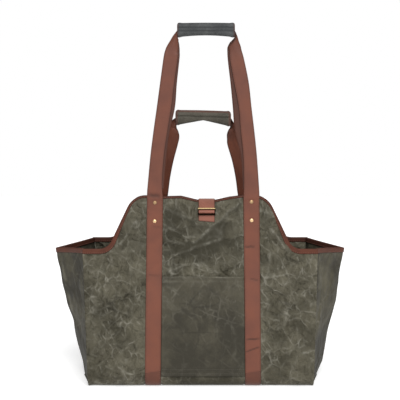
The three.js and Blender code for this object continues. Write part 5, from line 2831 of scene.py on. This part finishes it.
CANVAS = WaxedCanvas("waxed_cotton_canvas", "#555143", "#302d22", "#8f8c81")
GUSSET_CANVAS = WaxedCanvas(
    "gusset_waxed_canvas", "#534f40", "#2e2b22", "#878478",
    crack_share=0.5, slope=0.3, facets=((90.0, 40.0), (46.0, 115.0)),
)
SMOOTH_CANVAS = WaxedCanvas(
    "calendered_waxed_canvas", "#4a4639", "#2d2a21", "#78756a", crack_share=0.4, slope=0.15, rough=0.62
)
SLATE_CANVAS = WaxedCanvas(
    "slate_grip_canvas", "#494b4b", "#343637", "#67696a", "#4a302a", crack_share=0.3, slope=0.1, cloud=30.0
)
OLIVE_CANVAS = WaxedCanvas(
    "olive_grip_canvas", "#57534a", "#413e36", "#75726a", "#5f3f36", crack_share=0.3, slope=0.1, cloud=30.0
)
HIDE = SmoothLeather("strap_cowhide", "#683b2b", "#5e3629", "#30180f")
FADED_HIDE = SmoothLeather("closure_cowhide", "#7f4f40", "#704537", "#3a1e16")
EDGE_HIDE = SmoothLeather("binding_cowhide", "#553023", "#48281d", "#28130c", rough=0.6, gloss=0.15)
BRASS = AntiqueBrass("antique_brass", "#ecd09a", "#1d130c")
WORN_BRASS = AntiqueBrass("worn_brass", "#e8c698", "#4a2a1c")
LEATHER_THREAD = WaxedThread("brown_thread", "#7d5243", "#5a382d")
CLOTH_THREAD = WaxedThread("olive_thread", "#545145", "#3b3930")


def main() -> None:
    """Build every piece of the log carrier in order and report it."""
    logging.basicConfig(level=logging.INFO, format="%(name)s: %(message)s")
    canvas, gusset_canvas = CANVAS.material(), GUSSET_CANVAS.material()
    hide, edge_hide = HIDE.material(), EDGE_HIDE.material()
    worn_brass = WORN_BRASS.material()
    leather_seams, cloth_seams = Stitching(), Stitching()

    front = Panel(Side.FRONT, BAG.front_top, 1.0, 11.0, FRONT_FOLDS, FRONT_PATCHES, pocketed=True)
    back = Panel(Side.BACK, BAG.back_top, 0.0, 203.0)
    BasePanel().build(canvas)
    for panel in (front, back):
        panel.build(canvas)
        PanelBinding(panel=panel).build(edge_hide, leather_seams)
        Strap(panel).build(hide, leather_seams)
        Rivets(panel).build(worn_brass)
    for gusset in (
        # The left end is drawn darker, partly as painted shade of the end that faces away from the light.
        Gusset(Hand.LEFT, 331.0, 0.12, shaded=(90.0, 320.0), rubbed_and_lit=(120.0, 310.0)),
        Gusset(Hand.RIGHT, 417.0, 0.05, shaded=(170.0, 400.0), rubbed_and_lit=(0.0, 0.0)),
    ):
        gusset.build(gusset_canvas)
        GussetBinding(gusset=gusset).build(edge_hide, leather_seams)
    Grip(front).build(SLATE_CANVAS.material())
    Grip(
        back, half_length=69.5, upper=20.5, lower_end=20.0, lower_middle=3.0, notch=1.0,
        folds=(8.0,), roll=8.0, tilt=1.8, top_line=0.8,
    ).build(OLIVE_CANVAS.material())
    Pocket(front).build(SMOOTH_CANVAS.material(), cloth_seams)
    ClosureTab().build(FADED_HIDE.material())
    ClosureSlide().build(BRASS.material())
    leather_seams.build("leather_stitches", LEATHER_THREAD.material(), Slot.STRAP)
    cloth_seams.build("canvas_stitches", CLOTH_THREAD.material(), Slot.CANVAS)

    studio = Studio()
    studio.build_floor()
    studio.build_light()
    studio.build_camera()


if __name__ == "__main__":
    main()
